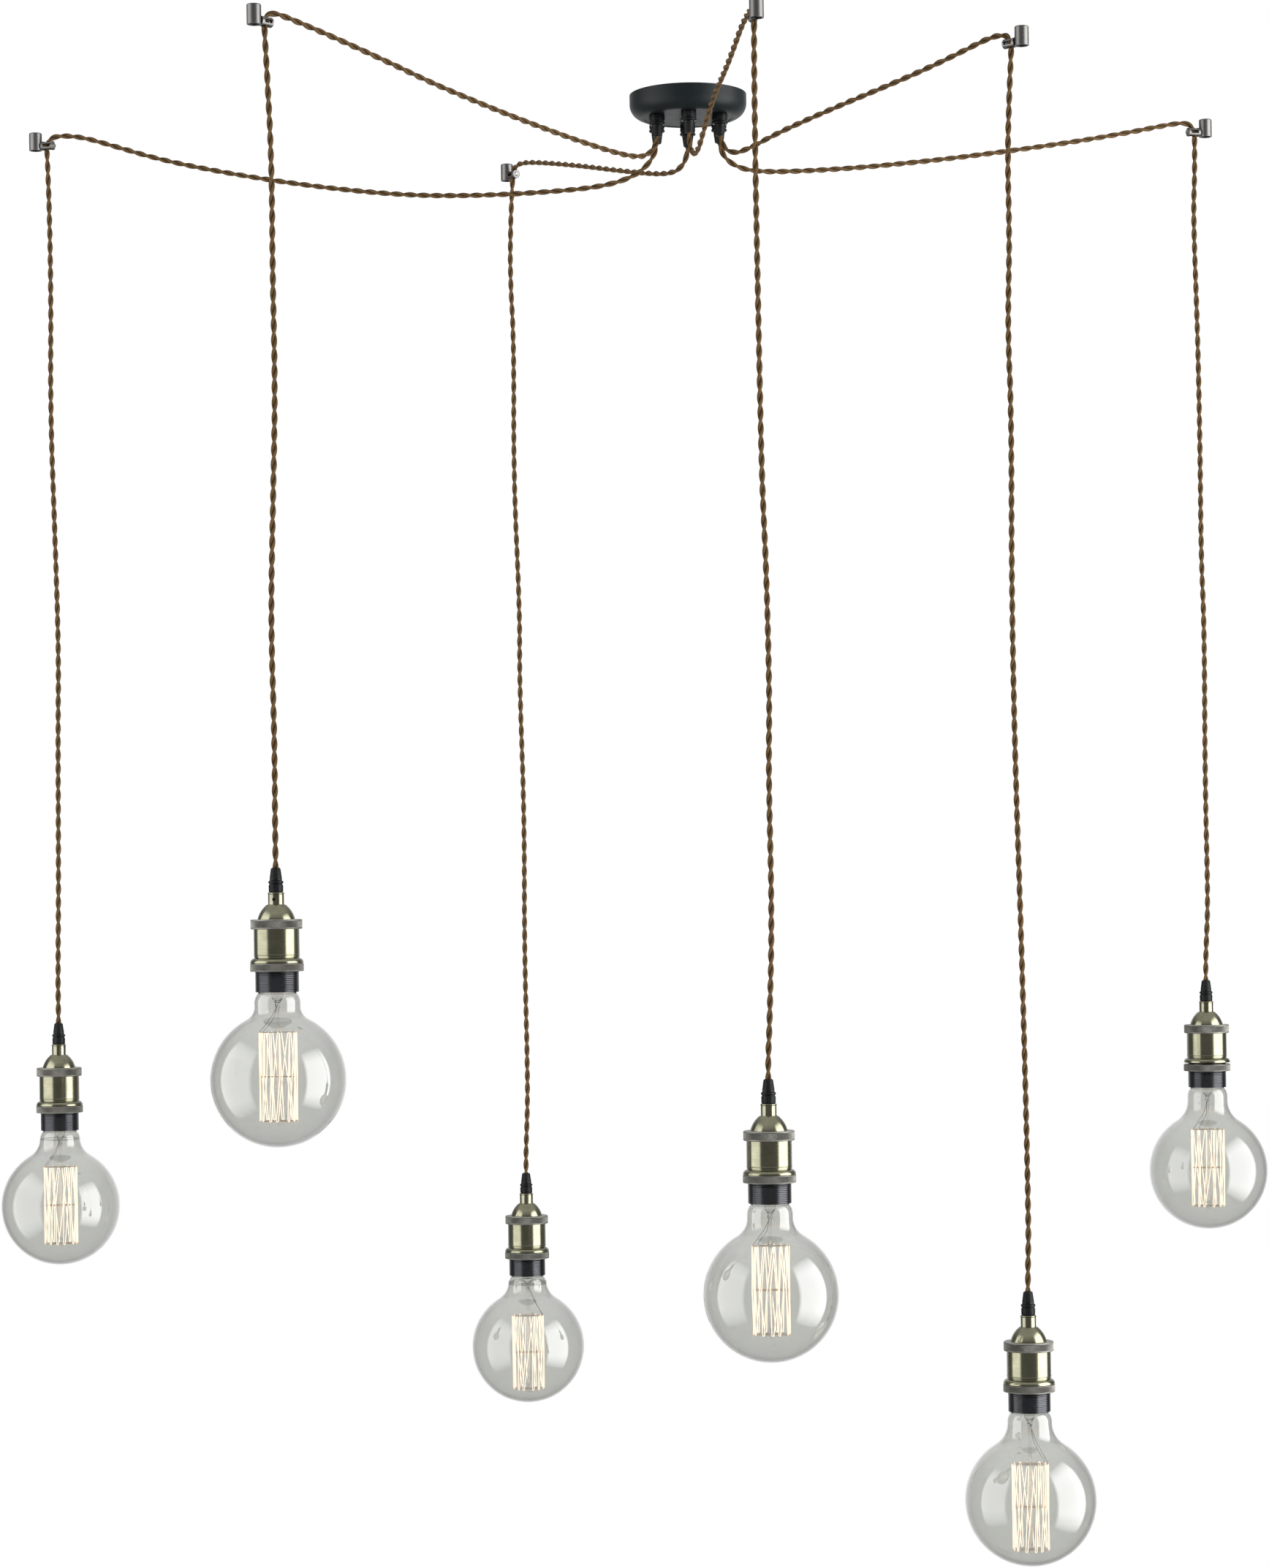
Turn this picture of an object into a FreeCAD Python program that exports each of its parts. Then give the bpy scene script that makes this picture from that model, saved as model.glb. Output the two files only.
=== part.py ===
"""Six-light swag pendant: a black ceiling canopy, six twisted flexes carried out to
ceiling hooks, and six brass lamp holders with clear globe filament lamps."""
import FreeCAD
import Part
import math
import os

V = FreeCAD.Vector
UP = V(0, 0, 1)
ORIGIN = V(0, 0, 0)

# Where the six lamps hang: flex drop in plan (mm from the canopy's axis), height of the
# lamp's globe centre under the ceiling, how much longer than usual the blown neck is and
# how much lower in its globe the filament hangs, canopy outlet angle, and the holder's turn.
PENDANTS = [
    {"drop": (-681, 143), "globe": -1143, "neck": 0, "cage": 2, "outlet": 150, "turn": 140},
    {"drop": (-395, -400), "globe": -986, "neck": 0, "cage": 0, "outlet": -150, "turn": -11},
    {"drop": (-191, 335), "globe": -1322, "neck": -1.4, "cage": 9.5, "outlet": 90, "turn": 160},
    {"drop": (55, -396), "globe": -1190, "neck": 3.7, "cage": -1.5, "outlet": -90, "turn": 215},
    {"drop": (304, -274), "globe": -1402, "neck": 4.1, "cage": 9.3, "outlet": -30, "turn": 190},
    {"drop": (543, 152), "globe": -1122, "neck": 8.2, "cage": 0, "outlet": 30, "turn": 110},
]
# The sixth holder's shade ring is wound down a little, as it is used.
RING_WOUND_DOWN = [0, 0, 0, 0, 0, 1.6]

# Each swag's route in its own upright plane: distance from the outlet towards the drop,
# and height under the ceiling. The ends at the outlet and at the hook are worked out.
SWAGS = [
    [(8, -66), (28, -80), (62, -87.5), (120, -90), (190, -90), (260, -86.5), (330, -77.5),
     (400, -65.5), (470, -51), (535, -35), (586, -18), (620, -7), (642, -4)],
    [(7, -62), (24, -71), (58, -71.5), (115, -66.5), (180, -59), (245, -50), (315, -39),
     (380, -26), (444, -14.5), (486, -7.7), (508, -4.6)],
    [(6, -60), (20, -67), (46, -66), (88, -57.5), (138, -46), (190, -33.5), (240, -22),
     (287, -12), (318, -6), (336, -4)],
    [(9, -65), (30, -75), (58, -73), (85, -62), (120, -49), (165, -37), (215, -29),
     (262, -18), (300, -8), (326, -5), (345, -4)],
    [(7, -61), (22, -67.5), (48, -62.5), (80, -54.5), (125, -46), (175, -37.5), (225, -29.5),
     (275, -20.5), (315, -12), (340, -6), (355, -4)],
    [(7, -63), (24, -72), (50, -74), (90, -71.5), (145, -66.5), (205, -59), (265, -50.5),
     (330, -40), (390, -29.7), (445, -19), (488, -9.5), (510, -5)],
]

# Flex
FLEX_DIAMETER = 5.4
FLEX_GAP = 0.3
FLEX_BORE_CLEARANCE = 0.25
ARC_SHARE = 0.45
MOUTH_RUN = 3
HOOK_BEND_RUN = 6
HOOK_BEND_TOP = -5.2
HOOK_BEND_RISE = 2.5

# Canopy
CANOPY_DIAMETER = 120
CANOPY_HEIGHT = 24
CANOPY_CORNER = 14.5
CANOPY_WALL = 1.2
FACE_STEP = 0.5
FACE_STEP_WIDTH = 0.6
OUTLET_CIRCLE = 37

# Ceiling bracket and its fixings
BRACKET_WIDTH = 18
BRACKET_THICKNESS = 2
BRACKET_BEND = 1.5
CEILING_HOLE_SPACING = 60
CEILING_HOLE_DIAMETER = 5
TAB_DROP = 11
TAB_WIDTH = 14
TAB_CLEARANCE = 0.3
SIDE_SCREW_DIAMETER = 4
SIDE_SCREW_LENGTH = 7
SIDE_SCREW_DEPTH = 5.5
SIDE_SCREW_SLOT = 0.8
SIDE_SCREW_HOLE_CLEARANCE = 0.25
THREAD_CLEARANCE = 0.1

# Terminal block
BLOCK_LENGTH = 34
BLOCK_WIDTH = 15
BLOCK_HEIGHT = 12
BLOCK_WAYS = 3
BLOCK_PITCH = 10.5
BLOCK_WIRE_HOLE = 4.6
BLOCK_NECK = 2.2

# Cord grip, used on the canopy and on every lamp holder
GRIP_BASE_TOP = 13.0
GRIP_BASE_FOOT = 12.2
GRIP_BASE_HEIGHT = 7.7
GRIP_LIP_DIAMETER = 14.0
GRIP_LIP_HEIGHT = 3.2
GRIP_NUT_WIDE = 11.7
GRIP_NUT_NARROW = 8.4
GRIP_NUT_HEIGHT = 11.7
GRIP_NUT_EDGE = 0.9
GRIP_SPIGOT_DIAMETER = 10
GRIP_SPIGOT_GAP = 0.12
GRIP_FLEX_DEPTH = 8
GRIP_CORE_BORE = 4.2
CANOPY_GRIP_SHARE = 1.17
NUT_SOCKET_DIAMETER = 8.6
NUT_SOCKET_DEPTH = 5
LOCK_NUT_ACROSS = 16
LOCK_NUT_HEIGHT = 4.5
LOCK_NUT_PROUD = 1.5

# Ceiling hook: a cup screwed to the ceiling, with a slotted arm that clamps the flex
CUP_DIAMETER = 13.5
CUP_HEIGHT = 18.5
CUP_WALL = 1.5
CUP_ROOF = 3
CUP_EDGE = 1.2
CUP_SCREW_HOLE = 4.5
ARM_DIAMETER = 9.5
ARM_LENGTH = 20.6
ARM_HEIGHT = -14
ARM_EDGE = 0.8
ARM_STUB_DIAMETER = 5
ARM_FLEX_REACH = 12.5
ARM_SLOT_END = 18.5
ARM_WINDOW_HEIGHT = 3.4
CLAMP_SCREW_DIAMETER = 4.4
CLAMP_SCREW_PROUD = 1.6
CLAMP_SCREW_TIP = 0.8
CLAMP_GAP = 0.6
SEAT_GAP = 0.1

# Lamp holder, measured upwards from the lower edge of its threaded skirt
BODY_DIAMETER = 41.8
BODY_HEIGHT = 26.2
BODY_WALL = 0.6
BODY_BEAD_HEIGHT = 2.5
BODY_BEAD_PROUD = 0.35
SKIRT_FIT = 0.15
SKIRT_DIAMETER = BODY_DIAMETER - 2 * BODY_WALL - 2 * SKIRT_FIT
SKIRT_WALL = 2.1
SKIRT_SHOWN = 19
SKIRT_HIDDEN = 18
RING_WALL = 4.5
RING_DIAMETER = SKIRT_DIAMETER + 2 * RING_WALL
RING_HEIGHT = 7.3
RING_EDGE = 0.8
RING_BORE_CLEARANCE = 0.2
RING_TOP_GAP = 0.1
FLANGE_REACH = 3.5
FLANGE_DIAMETER = BODY_DIAMETER + 2 * FLANGE_REACH
FLANGE_HEIGHT = 5.2
FLARE_ACROSS_SHARE = 0.68
FLARE_RISE_SHARE = 0.62
UNION_WALL = 2.9
UNION_DIAMETER = BODY_DIAMETER + 2 * UNION_WALL
UNION_HEIGHT = 9.1
UNION_EDGE = 1.5
UNION_OVERLAP = 3.4
UNION_BORE_CLEARANCE = 0.2
DOME_LIP = 3.6
DOME_FOOT_DIAMETER = BODY_DIAMETER - 2 * DOME_LIP
DOME_TOP_DIAMETER = 17
DOME_HEIGHT = 13.6
DOME_WALL = 0.9
DOME_LIP_HEIGHT = 1.7
DOME_BULGE_SHARE = 0.62
SLEEVE_DIAMETER = 14.6
SLEEVE_HEIGHT = 11.1
SLEEVE_BEAD_HEIGHT = 1.8
SLEEVE_BEAD_PROUD = 0.35
SLEEVE_SCREW_HOLE = 3.2

# Ceramic core of the lamp holder
CORE_BORE = 27.2
CORE_FLOOR = 13.5
CORE_FLANGE_HEIGHT = 2.5
CORE_CLEARANCE = 0.25
CONTACT_DIAMETER = 8
CONTACT_HEIGHT = 1.2
CONTACT_GAP = 0.2
WIRE_HOLE_DIAMETER = 3.2
WIRE_HOLE_SPREAD = 18

# Globe lamp
GLOBE_DIAMETER = 125
GLOBE_DEPTH = 80.5
GLASS_WALL = 0.9
NECK_DIAMETER = 42.5
NECK_SHOULDER = 10
SHOULDER_ACROSS_SHARE = 0.75
SHOULDER_DROP_SHARE = 0.5
NECK_MOUTH_GAP = 1.05
NECK_MOUTH_DIAMETER = SKIRT_DIAMETER - 2 * SKIRT_WALL - 2 * NECK_MOUTH_GAP
NECK_FILLET = 13
NECK_SEAL_DIAMETER = 24.4
NECK_SEAL_FOOT = 8.5
NECK_SEAL_HEIGHT = 12
CAP_DIAMETER = 26.4
CAP_WALL = 0.7
CAP_HEIGHT = 21
CAP_FOOT = 9.5
CAP_INSULATOR_HEIGHT = 3.6
CAP_TIP_DIAMETER = 9
CAP_TIP_HEIGHT = 1.4

# Lamp mount: glass stem, rod, support wires and the squirrel-cage filament
STEM_DIAMETER = 13
STEM_FOOT = -6
PRESS_FOOT = -12
PRESS_WAIST_SHARE = 0.55
ROD_DIAMETER = 3
HUB_DIAMETER = 5.2
HUB_HEIGHT = 3.4
CAGE_DIAMETER = 36
CAGE_TOP = -37
CAGE_FOOT = -118.5
HAIRPINS = 13
FILAMENT_DIAMETER = 0.6
FILAMENT_BEND = 0.75
SUPPORT_DIAMETER = 0.7
SUPPORT_INSET = 0.55
LEAD_DIAMETER = 0.9

# Derived lamp holder levels
RING_FOOT = SKIRT_SHOWN
RING_TOP = RING_FOOT + RING_HEIGHT
FLANGE_FOOT = RING_TOP + RING_TOP_GAP
BODY_FOOT = FLANGE_FOOT + FLANGE_HEIGHT - RING_TOP_GAP
UNION_FOOT = BODY_FOOT + BODY_HEIGHT
UNION_TOP = UNION_FOOT + UNION_HEIGHT
DOME_TOP = UNION_TOP + DOME_HEIGHT
SLEEVE_TOP = DOME_TOP + SLEEVE_HEIGHT
GRIP_HEIGHT = GRIP_BASE_HEIGHT + GRIP_LIP_HEIGHT + GRIP_NUT_HEIGHT
HOLDER_TOP = SLEEVE_TOP + GRIP_HEIGHT
SKIRT_TOP = FLANGE_FOOT + SKIRT_HIDDEN
BODY_BORE = BODY_DIAMETER / 2 - BODY_WALL
LAMP_TIP = CAP_FOOT + CAP_HEIGHT + CAP_INSULATOR_HEIGHT + CAP_TIP_HEIGHT
ARM_FOOT = ARM_HEIGHT - ARM_DIAMETER / 2
SWAG_END = ARM_FOOT - SEAT_GAP
SWING_CENTRE = SWAG_END - FLEX_GAP - FLEX_DIAMETER / 2
FLEX_BORE = FLEX_DIAMETER / 2 + FLEX_BORE_CLEARANCE
CANOPY_FLOOR = -CANOPY_HEIGHT + FACE_STEP + CANOPY_WALL


def turned(points):
    """A solid turned about Z from a half outline of (radius, height) points.
    A point of four numbers is an arc: its middle and its end."""
    edges = []
    here = V(points[0][0], 0, points[0][1])
    for point in points[1:] + points[:1]:
        there = V(point[-2], 0, point[-1])
        if len(point) == 4:
            middle = V(point[0], 0, point[1])
            edges.append(Part.Arc(here, middle, there).toShape())
        elif here.distanceToPoint(there) > 1e-7:
            edges.append(Part.LineSegment(here, there).toShape())
        here = there
    face = Part.Face(Part.Wire(edges))
    solid = face.revolve(ORIGIN, UP, 360)
    return solid if solid.Volume > 0 else solid.reversed()


def rod(start, end, diameter):
    """A round bar between two points."""
    along = end - start
    return Part.makeCylinder(diameter / 2, along.Length, start, along)


def block(x, y, z, centre):
    """A box of the given sides about its centre."""
    return Part.makeBox(x, y, z, centre - V(x / 2, y / 2, z / 2))


def rounded(start, end, radius, outward):
    """The middle of a quarter arc from start to end that bulges outward."""
    half = radius * (1 - math.sqrt(0.5))
    corner = (max(start[0], end[0]) if outward[0] > 0 else min(start[0], end[0]),
              max(start[1], end[1]) if outward[1] > 0 else min(start[1], end[1]))
    return (corner[0] - outward[0] * half, corner[1] - outward[1] * half)


def path_of_runs(points, radius_at):
    """Straight runs joined by tangent arcs. Gives the wire, its length and its radii."""
    edges = []
    radii = []
    here = points[0]
    for before, corner, after in zip(points, points[1:], points[2:]):
        into = (corner - before).normalize()
        out = (after - corner).normalize()
        turn = into.getAngle(out)
        radius = radius_at((corner - before).Length, (after - corner).Length, turn)
        reach = radius * math.tan(turn / 2)
        start = corner - into * reach
        end = corner + out * reach
        to_centre = (out - into).normalize()
        sagitta = radius / math.cos(turn / 2) - radius
        edges.append(Part.LineSegment(here, start).toShape())
        edges.append(Part.Arc(start, corner + to_centre * sagitta, end).toShape())
        radii.append(radius)
        here = end
    edges.append(Part.LineSegment(here, points[-1]).toShape())
    return Part.Wire(edges), sum(edge.Length for edge in edges), radii


def tube_on(wire, start, along, diameter):
    """A round tube along a wire."""
    ring = Part.Wire(Part.makeCircle(diameter / 2, start, along))
    tube = wire.makePipeShell([ring], True, False)
    return tube if tube.Volume > 0 else tube.reversed()


# Canopy

def canopy_shell():
    """The pressed dish: straight wall, round corner and a flat face with six outlets."""
    wall = CANOPY_DIAMETER / 2
    inner = wall - CANOPY_WALL
    face_radius = wall - CANOPY_CORNER
    bend = -CANOPY_HEIGHT + CANOPY_CORNER
    foot = -CANOPY_HEIGHT
    inner_bend = CANOPY_CORNER - CANOPY_WALL
    slope = math.sqrt(0.5)
    step_radius = face_radius - FACE_STEP_WIDTH
    dish = turned([
        (inner, 0),
        (wall, 0),
        (wall, bend),
        (face_radius + CANOPY_CORNER * slope, bend - CANOPY_CORNER * slope, face_radius, foot),
        (step_radius, foot),
        (step_radius, foot + FACE_STEP),
        (0, foot + FACE_STEP),
        (0, CANOPY_FLOOR),
        (face_radius, CANOPY_FLOOR),
        (face_radius, foot + CANOPY_WALL),
        (face_radius + inner_bend * slope, bend - inner_bend * slope, inner, bend),
    ])
    hole = GRIP_SPIGOT_DIAMETER / 2 + GRIP_SPIGOT_GAP
    cuts = [Part.makeCylinder(hole, 4 * CANOPY_WALL, V(x, y, foot - CANOPY_WALL))
            for x, y in outlets()]
    screw_hole = SIDE_SCREW_DIAMETER + 2 * SIDE_SCREW_HOLE_CLEARANCE
    for side in (-1, 1):
        start = V(side * (inner - CANOPY_WALL), 0, -SIDE_SCREW_DEPTH)
        cuts.append(rod(start, V(side * (wall + CANOPY_WALL), 0, -SIDE_SCREW_DEPTH), screw_hole))
    return dish.cut(cuts)


def outlets():
    """Plan positions of the six outlets on the canopy's face."""
    angles = [math.radians(pendant["outlet"]) for pendant in PENDANTS]
    return [(OUTLET_CIRCLE * math.cos(a), OUTLET_CIRCLE * math.sin(a)) for a in angles]


def tab_face():
    """Distance from the canopy's axis to the outer face of the bracket's end tabs."""
    inner = CANOPY_DIAMETER / 2 - CANOPY_WALL
    return math.sqrt(inner ** 2 - (TAB_WIDTH / 2) ** 2) - TAB_CLEARANCE


def mounting_bracket():
    """A steel strip with turned-down ends, screwed to the ceiling through two holes."""
    face = tab_face()
    bend = BRACKET_BEND + BRACKET_THICKNESS
    outline = [V(-face, 0, -TAB_DROP), V(-face, 0, -bend), V(-face + bend, 0, 0),
               V(face - bend, 0, 0), V(face, 0, -bend), V(face, 0, -TAB_DROP)]
    slope = bend * math.sqrt(0.5)
    outer = [
        Part.LineSegment(outline[0], outline[1]).toShape(),
        Part.Arc(outline[1], V(-face + bend - slope, 0, -bend + slope), outline[2]).toShape(),
        Part.LineSegment(outline[2], outline[3]).toShape(),
        Part.Arc(outline[3], V(face - bend + slope, 0, -bend + slope), outline[4]).toShape(),
        Part.LineSegment(outline[4], outline[5]).toShape(),
    ]
    inside = face - BRACKET_THICKNESS
    turn = BRACKET_BEND * math.sqrt(0.5)
    inner = [
        Part.LineSegment(outline[5], V(inside, 0, -TAB_DROP)).toShape(),
        Part.LineSegment(V(inside, 0, -TAB_DROP), V(inside, 0, -bend)).toShape(),
        Part.Arc(V(inside, 0, -bend), V(inside - BRACKET_BEND + turn, 0, -bend + turn),
                 V(inside - BRACKET_BEND, 0, -BRACKET_THICKNESS)).toShape(),
        Part.LineSegment(V(inside - BRACKET_BEND, 0, -BRACKET_THICKNESS),
                         V(BRACKET_BEND - inside, 0, -BRACKET_THICKNESS)).toShape(),
        Part.Arc(V(BRACKET_BEND - inside, 0, -BRACKET_THICKNESS),
                 V(BRACKET_BEND - inside - turn, 0, -bend + turn), V(-inside, 0, -bend)).toShape(),
        Part.LineSegment(V(-inside, 0, -bend), V(-inside, 0, -TAB_DROP)).toShape(),
        Part.LineSegment(V(-inside, 0, -TAB_DROP), outline[0]).toShape(),
    ]
    strip = Part.Face(Part.Wire(outer + inner)).extrude(V(0, BRACKET_WIDTH, 0))
    strip.translate(V(0, -BRACKET_WIDTH / 2, 0))
    trim = (BRACKET_WIDTH - TAB_WIDTH) / 2
    cuts = []
    for side in (-1, 1):
        hole = V(side * CEILING_HOLE_SPACING / 2, 0, -BRACKET_THICKNESS * 2)
        cuts.append(Part.makeCylinder(CEILING_HOLE_DIAMETER / 2, BRACKET_THICKNESS * 4, hole))
        screw = V(side * (inside - BRACKET_THICKNESS), 0, -SIDE_SCREW_DEPTH)
        cuts.append(rod(screw, screw + V(side * BRACKET_THICKNESS * 3, 0, 0),
                        SIDE_SCREW_DIAMETER + THREAD_CLEARANCE))
        for edge in (-1, 1):
            middle = V(side * face, edge * (BRACKET_WIDTH - trim) / 2, -TAB_DROP / 2)
            cuts.append(block(4 * bend, trim, 2 * TAB_DROP, middle))
    return strip.cut(cuts)


def side_screws():
    """Two slotted grub screws, flush with the canopy's wall, that hold it to the tabs."""
    screws = []
    for side in (-1, 1):
        head = V(side * (CANOPY_DIAMETER / 2 - SEAT_GAP), 0, -SIDE_SCREW_DEPTH)
        screw = rod(head, head - V(side * SIDE_SCREW_LENGTH, 0, 0), SIDE_SCREW_DIAMETER)
        slot = block(2 * SIDE_SCREW_SLOT, SIDE_SCREW_SLOT, 2 * SIDE_SCREW_DIAMETER, head)
        screws.append(screw.cut(slot))
    return screws


def terminal_block():
    """A three-way block under the bracket, waisted between its ways."""
    centre = V(0, 0, -BRACKET_THICKNESS - BLOCK_HEIGHT / 2)
    body = block(BLOCK_LENGTH, BLOCK_WIDTH, BLOCK_HEIGHT, centre)
    cuts = []
    for way in range(BLOCK_WAYS):
        x = (way - (BLOCK_WAYS - 1) / 2) * BLOCK_PITCH
        start = V(x, -BLOCK_WIDTH, centre.z)
        cuts.append(rod(start, V(x, BLOCK_WIDTH, centre.z), BLOCK_WIRE_HOLE))
    for gap in range(BLOCK_WAYS - 1):
        x = (gap - (BLOCK_WAYS - 2) / 2) * BLOCK_PITCH
        for side in (-1, 1):
            notch = V(x, side * BLOCK_WIDTH / 2, centre.z)
            cuts.append(block(BLOCK_NECK, BLOCK_WIDTH / 2, 2 * BLOCK_HEIGHT, notch))
    return body.cut(cuts)


# Cord grip, pointing up from its seat at height zero

def grip_base(spigot, share):
    """The threaded base with its lip, and a spigot that goes down into what it seats on.
    The share widens the base and lip where the grip is the wider one."""
    foot = share * GRIP_BASE_FOOT / 2
    top = share * GRIP_BASE_TOP / 2
    lip = share * GRIP_LIP_DIAMETER / 2
    lip_foot = GRIP_BASE_HEIGHT
    lip_top = GRIP_BASE_HEIGHT + GRIP_LIP_HEIGHT
    stub = GRIP_SPIGOT_DIAMETER / 2
    collet = NUT_SOCKET_DIAMETER / 2 - SEAT_GAP
    collet_top = lip_top + NUT_SOCKET_DEPTH - SEAT_GAP
    stop = GRIP_HEIGHT - GRIP_FLEX_DEPTH
    bulge = GRIP_LIP_HEIGHT / 2
    return turned([
        (GRIP_CORE_BORE / 2, -spigot),
        (stub, -spigot),
        (stub, 0),
        (foot, 0),
        (top, lip_foot),
        (lip - bulge / 2, lip_foot),
        (lip, lip_foot + bulge, lip - bulge / 2, lip_top),
        (collet, lip_top),
        (collet, collet_top),
        (FLEX_BORE, collet_top),
        (FLEX_BORE, stop),
        (GRIP_CORE_BORE / 2, stop),
    ])


def grip_nut():
    """The tapered clamp nut that closes on the flex."""
    foot = GRIP_BASE_HEIGHT + GRIP_LIP_HEIGHT
    wide = GRIP_NUT_WIDE / 2
    narrow = GRIP_NUT_NARROW / 2
    socket = NUT_SOCKET_DIAMETER / 2
    edge = (narrow - GRIP_NUT_EDGE, GRIP_HEIGHT)
    side = (narrow, GRIP_HEIGHT - GRIP_NUT_EDGE)
    return turned([
        (socket, foot),
        (wide, foot),
        side,
        rounded(side, edge, GRIP_NUT_EDGE, (1, 1)) + edge,
        (FLEX_BORE, GRIP_HEIGHT),
        (FLEX_BORE, foot + NUT_SOCKET_DEPTH),
        (socket, foot + NUT_SOCKET_DEPTH),
    ])


def lock_nut():
    """The hexagon nut inside the canopy, on the grip's spigot."""
    corner = LOCK_NUT_ACROSS / math.sqrt(3)
    ring = [V(corner * math.cos(k * math.pi / 3), corner * math.sin(k * math.pi / 3), 0)
            for k in range(7)]
    hexagon = Part.Face(Part.makePolygon(ring)).extrude(V(0, 0, -LOCK_NUT_HEIGHT))
    bore = GRIP_SPIGOT_DIAMETER + THREAD_CLEARANCE
    hole = rod(V(0, 0, LOCK_NUT_HEIGHT), V(0, 0, -2 * LOCK_NUT_HEIGHT), bore)
    nut = hexagon.cut(hole)
    nut.translate(V(0, 0, -CANOPY_WALL))
    return nut


def canopy_cord_grips():
    """Six grips hanging from the canopy's face, each with its lock nut inside."""
    spigot = CANOPY_WALL + LOCK_NUT_HEIGHT + LOCK_NUT_PROUD
    pieces = [grip_base(spigot, CANOPY_GRIP_SHARE), grip_nut(), lock_nut()]
    grips = []
    for x, y in outlets():
        for piece in pieces:
            copy = piece.copy()
            copy.rotate(ORIGIN, V(1, 0, 0), 180)
            copy.translate(V(x, y, -CANOPY_HEIGHT + FACE_STEP))
            grips.append(copy)
    return grips


# Ceiling hooks, made with the arm along X from the cup's axis

def hook_cup():
    """The open-bottomed cup, with a screw hole in its roof and a hole for the arm."""
    radius = CUP_DIAMETER / 2
    side = (radius, -CUP_EDGE)
    top = (radius - CUP_EDGE, 0)
    cup = turned([
        (CUP_SCREW_HOLE / 2, 0),
        (CUP_SCREW_HOLE / 2, -CUP_ROOF),
        (radius - CUP_WALL, -CUP_ROOF),
        (radius - CUP_WALL, -CUP_HEIGHT),
        (radius, -CUP_HEIGHT),
        side,
        rounded(side, top, CUP_EDGE, (1, 1)) + top,
    ])
    stub = rod(V(0, 0, ARM_HEIGHT), V(CUP_DIAMETER, 0, ARM_HEIGHT), ARM_STUB_DIAMETER + THREAD_CLEARANCE)
    return cup.cut(stub)


def hook_arm():
    """The slotted barrel that the flex passes down through, with windows in its sides."""
    shoulder = CUP_DIAMETER / 2 + SEAT_GAP
    axis = V(0, 0, ARM_HEIGHT)
    barrel = Part.makeCylinder(ARM_DIAMETER / 2, ARM_LENGTH - shoulder, axis + V(shoulder, 0, 0), V(1, 0, 0))
    end = [edge for edge in barrel.Edges if abs(edge.CenterOfMass.x - ARM_LENGTH) < SEAT_GAP]
    barrel = barrel.makeFillet(ARM_EDGE, end)
    stub_start = CUP_DIAMETER / 2 - CUP_WALL
    stub = rod(axis + V(stub_start, 0, 0), axis + V(shoulder + SEAT_GAP, 0, 0), ARM_STUB_DIAMETER)
    arm = barrel.fuse(stub)
    slot_start = ARM_FLEX_REACH - FLEX_BORE
    slot_length = ARM_SLOT_END - slot_start
    middle = axis + V(slot_start + slot_length / 2, 0, 0)
    slot = block(slot_length, 2 * FLEX_BORE, 2 * ARM_DIAMETER, middle)
    window = block(slot_length, 2 * ARM_DIAMETER, ARM_WINDOW_HEIGHT, middle)
    bore = rod(middle, axis + V(2 * ARM_LENGTH, 0, 0), CLAMP_SCREW_DIAMETER + THREAD_CLEARANCE)
    return arm.cut([slot, window, bore])


def clamp_screw():
    """The pointed screw in the arm's end that grips the flex."""
    tip = ARM_FLEX_REACH + FLEX_DIAMETER / 2 + CLAMP_GAP
    radius = CLAMP_SCREW_DIAMETER / 2
    length = ARM_LENGTH + CLAMP_SCREW_PROUD - tip
    screw = turned([
        (0, 0),
        (radius - CLAMP_SCREW_TIP, 0),
        (radius, CLAMP_SCREW_TIP),
        (radius, length - CLAMP_SCREW_PROUD),
        (radius - CLAMP_SCREW_TIP, length),
        (0, length),
    ])
    slot = block(2 * radius, CLAMP_SCREW_TIP, CLAMP_SCREW_PROUD, V(0, 0, length))
    screw = screw.cut(slot)
    screw.rotate(ORIGIN, V(0, 1, 0), 90)
    screw.translate(V(tip, 0, ARM_HEIGHT))
    return screw


def swag_plane(index):
    """The outlet, the drop, and the level direction and span from one to the other."""
    x, y = outlets()[index]
    start = V(x, y, 0)
    end = V(*PENDANTS[index]["drop"], 0)
    span = end - start
    return start, end, V(span).normalize(), span.Length


def at_hook(shape, index):
    """A hook piece set on the ceiling so that its arm points back along the swag."""
    start, end, along, span = swag_plane(index)
    copy = shape.copy()
    copy.rotate(ORIGIN, UP, math.degrees(math.atan2(-along.y, -along.x)))
    copy.translate(end + along * ARM_FLEX_REACH)
    return copy


# Flexes

def flex_radius(before, after, turn):
    """The largest bend that two runs leave room for."""
    return ARC_SHARE * min(before, after) / math.tan(turn / 2)


def swag_route(index):
    """The swag's points, from inside the canopy's grip to the underside of the hook's arm."""
    start, end, along, span = swag_plane(index)
    mouth = -CANOPY_HEIGHT + FACE_STEP - GRIP_HEIGHT
    grip_stop = mouth + GRIP_FLEX_DEPTH
    plane = [(0, grip_stop), (0, mouth - MOUTH_RUN)] + SWAGS[index]
    plane.append((span - HOOK_BEND_RUN, HOOK_BEND_TOP))
    plane.append((span, ARM_HEIGHT + HOOK_BEND_RISE))
    plane.append((span, SWAG_END))
    return [start + along * reach + V(0, 0, height) for reach, height in plane]


def swag_cord(index):
    """One flex from the canopy out to its hook, as a plain tube."""
    points = swag_route(index)
    wire, length, radii = path_of_runs(points, flex_radius)
    tube = tube_on(wire, points[0], V(0, 0, -1), FLEX_DIAMETER)
    section = math.pi * FLEX_DIAMETER ** 2 / 4
    print("swag", index + 1, "length", round(length, 1), "volume / section x length",
          round(tube.Volume / (section * length), 4), "radii", [round(r, 1) for r in radii])
    return tube


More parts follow.
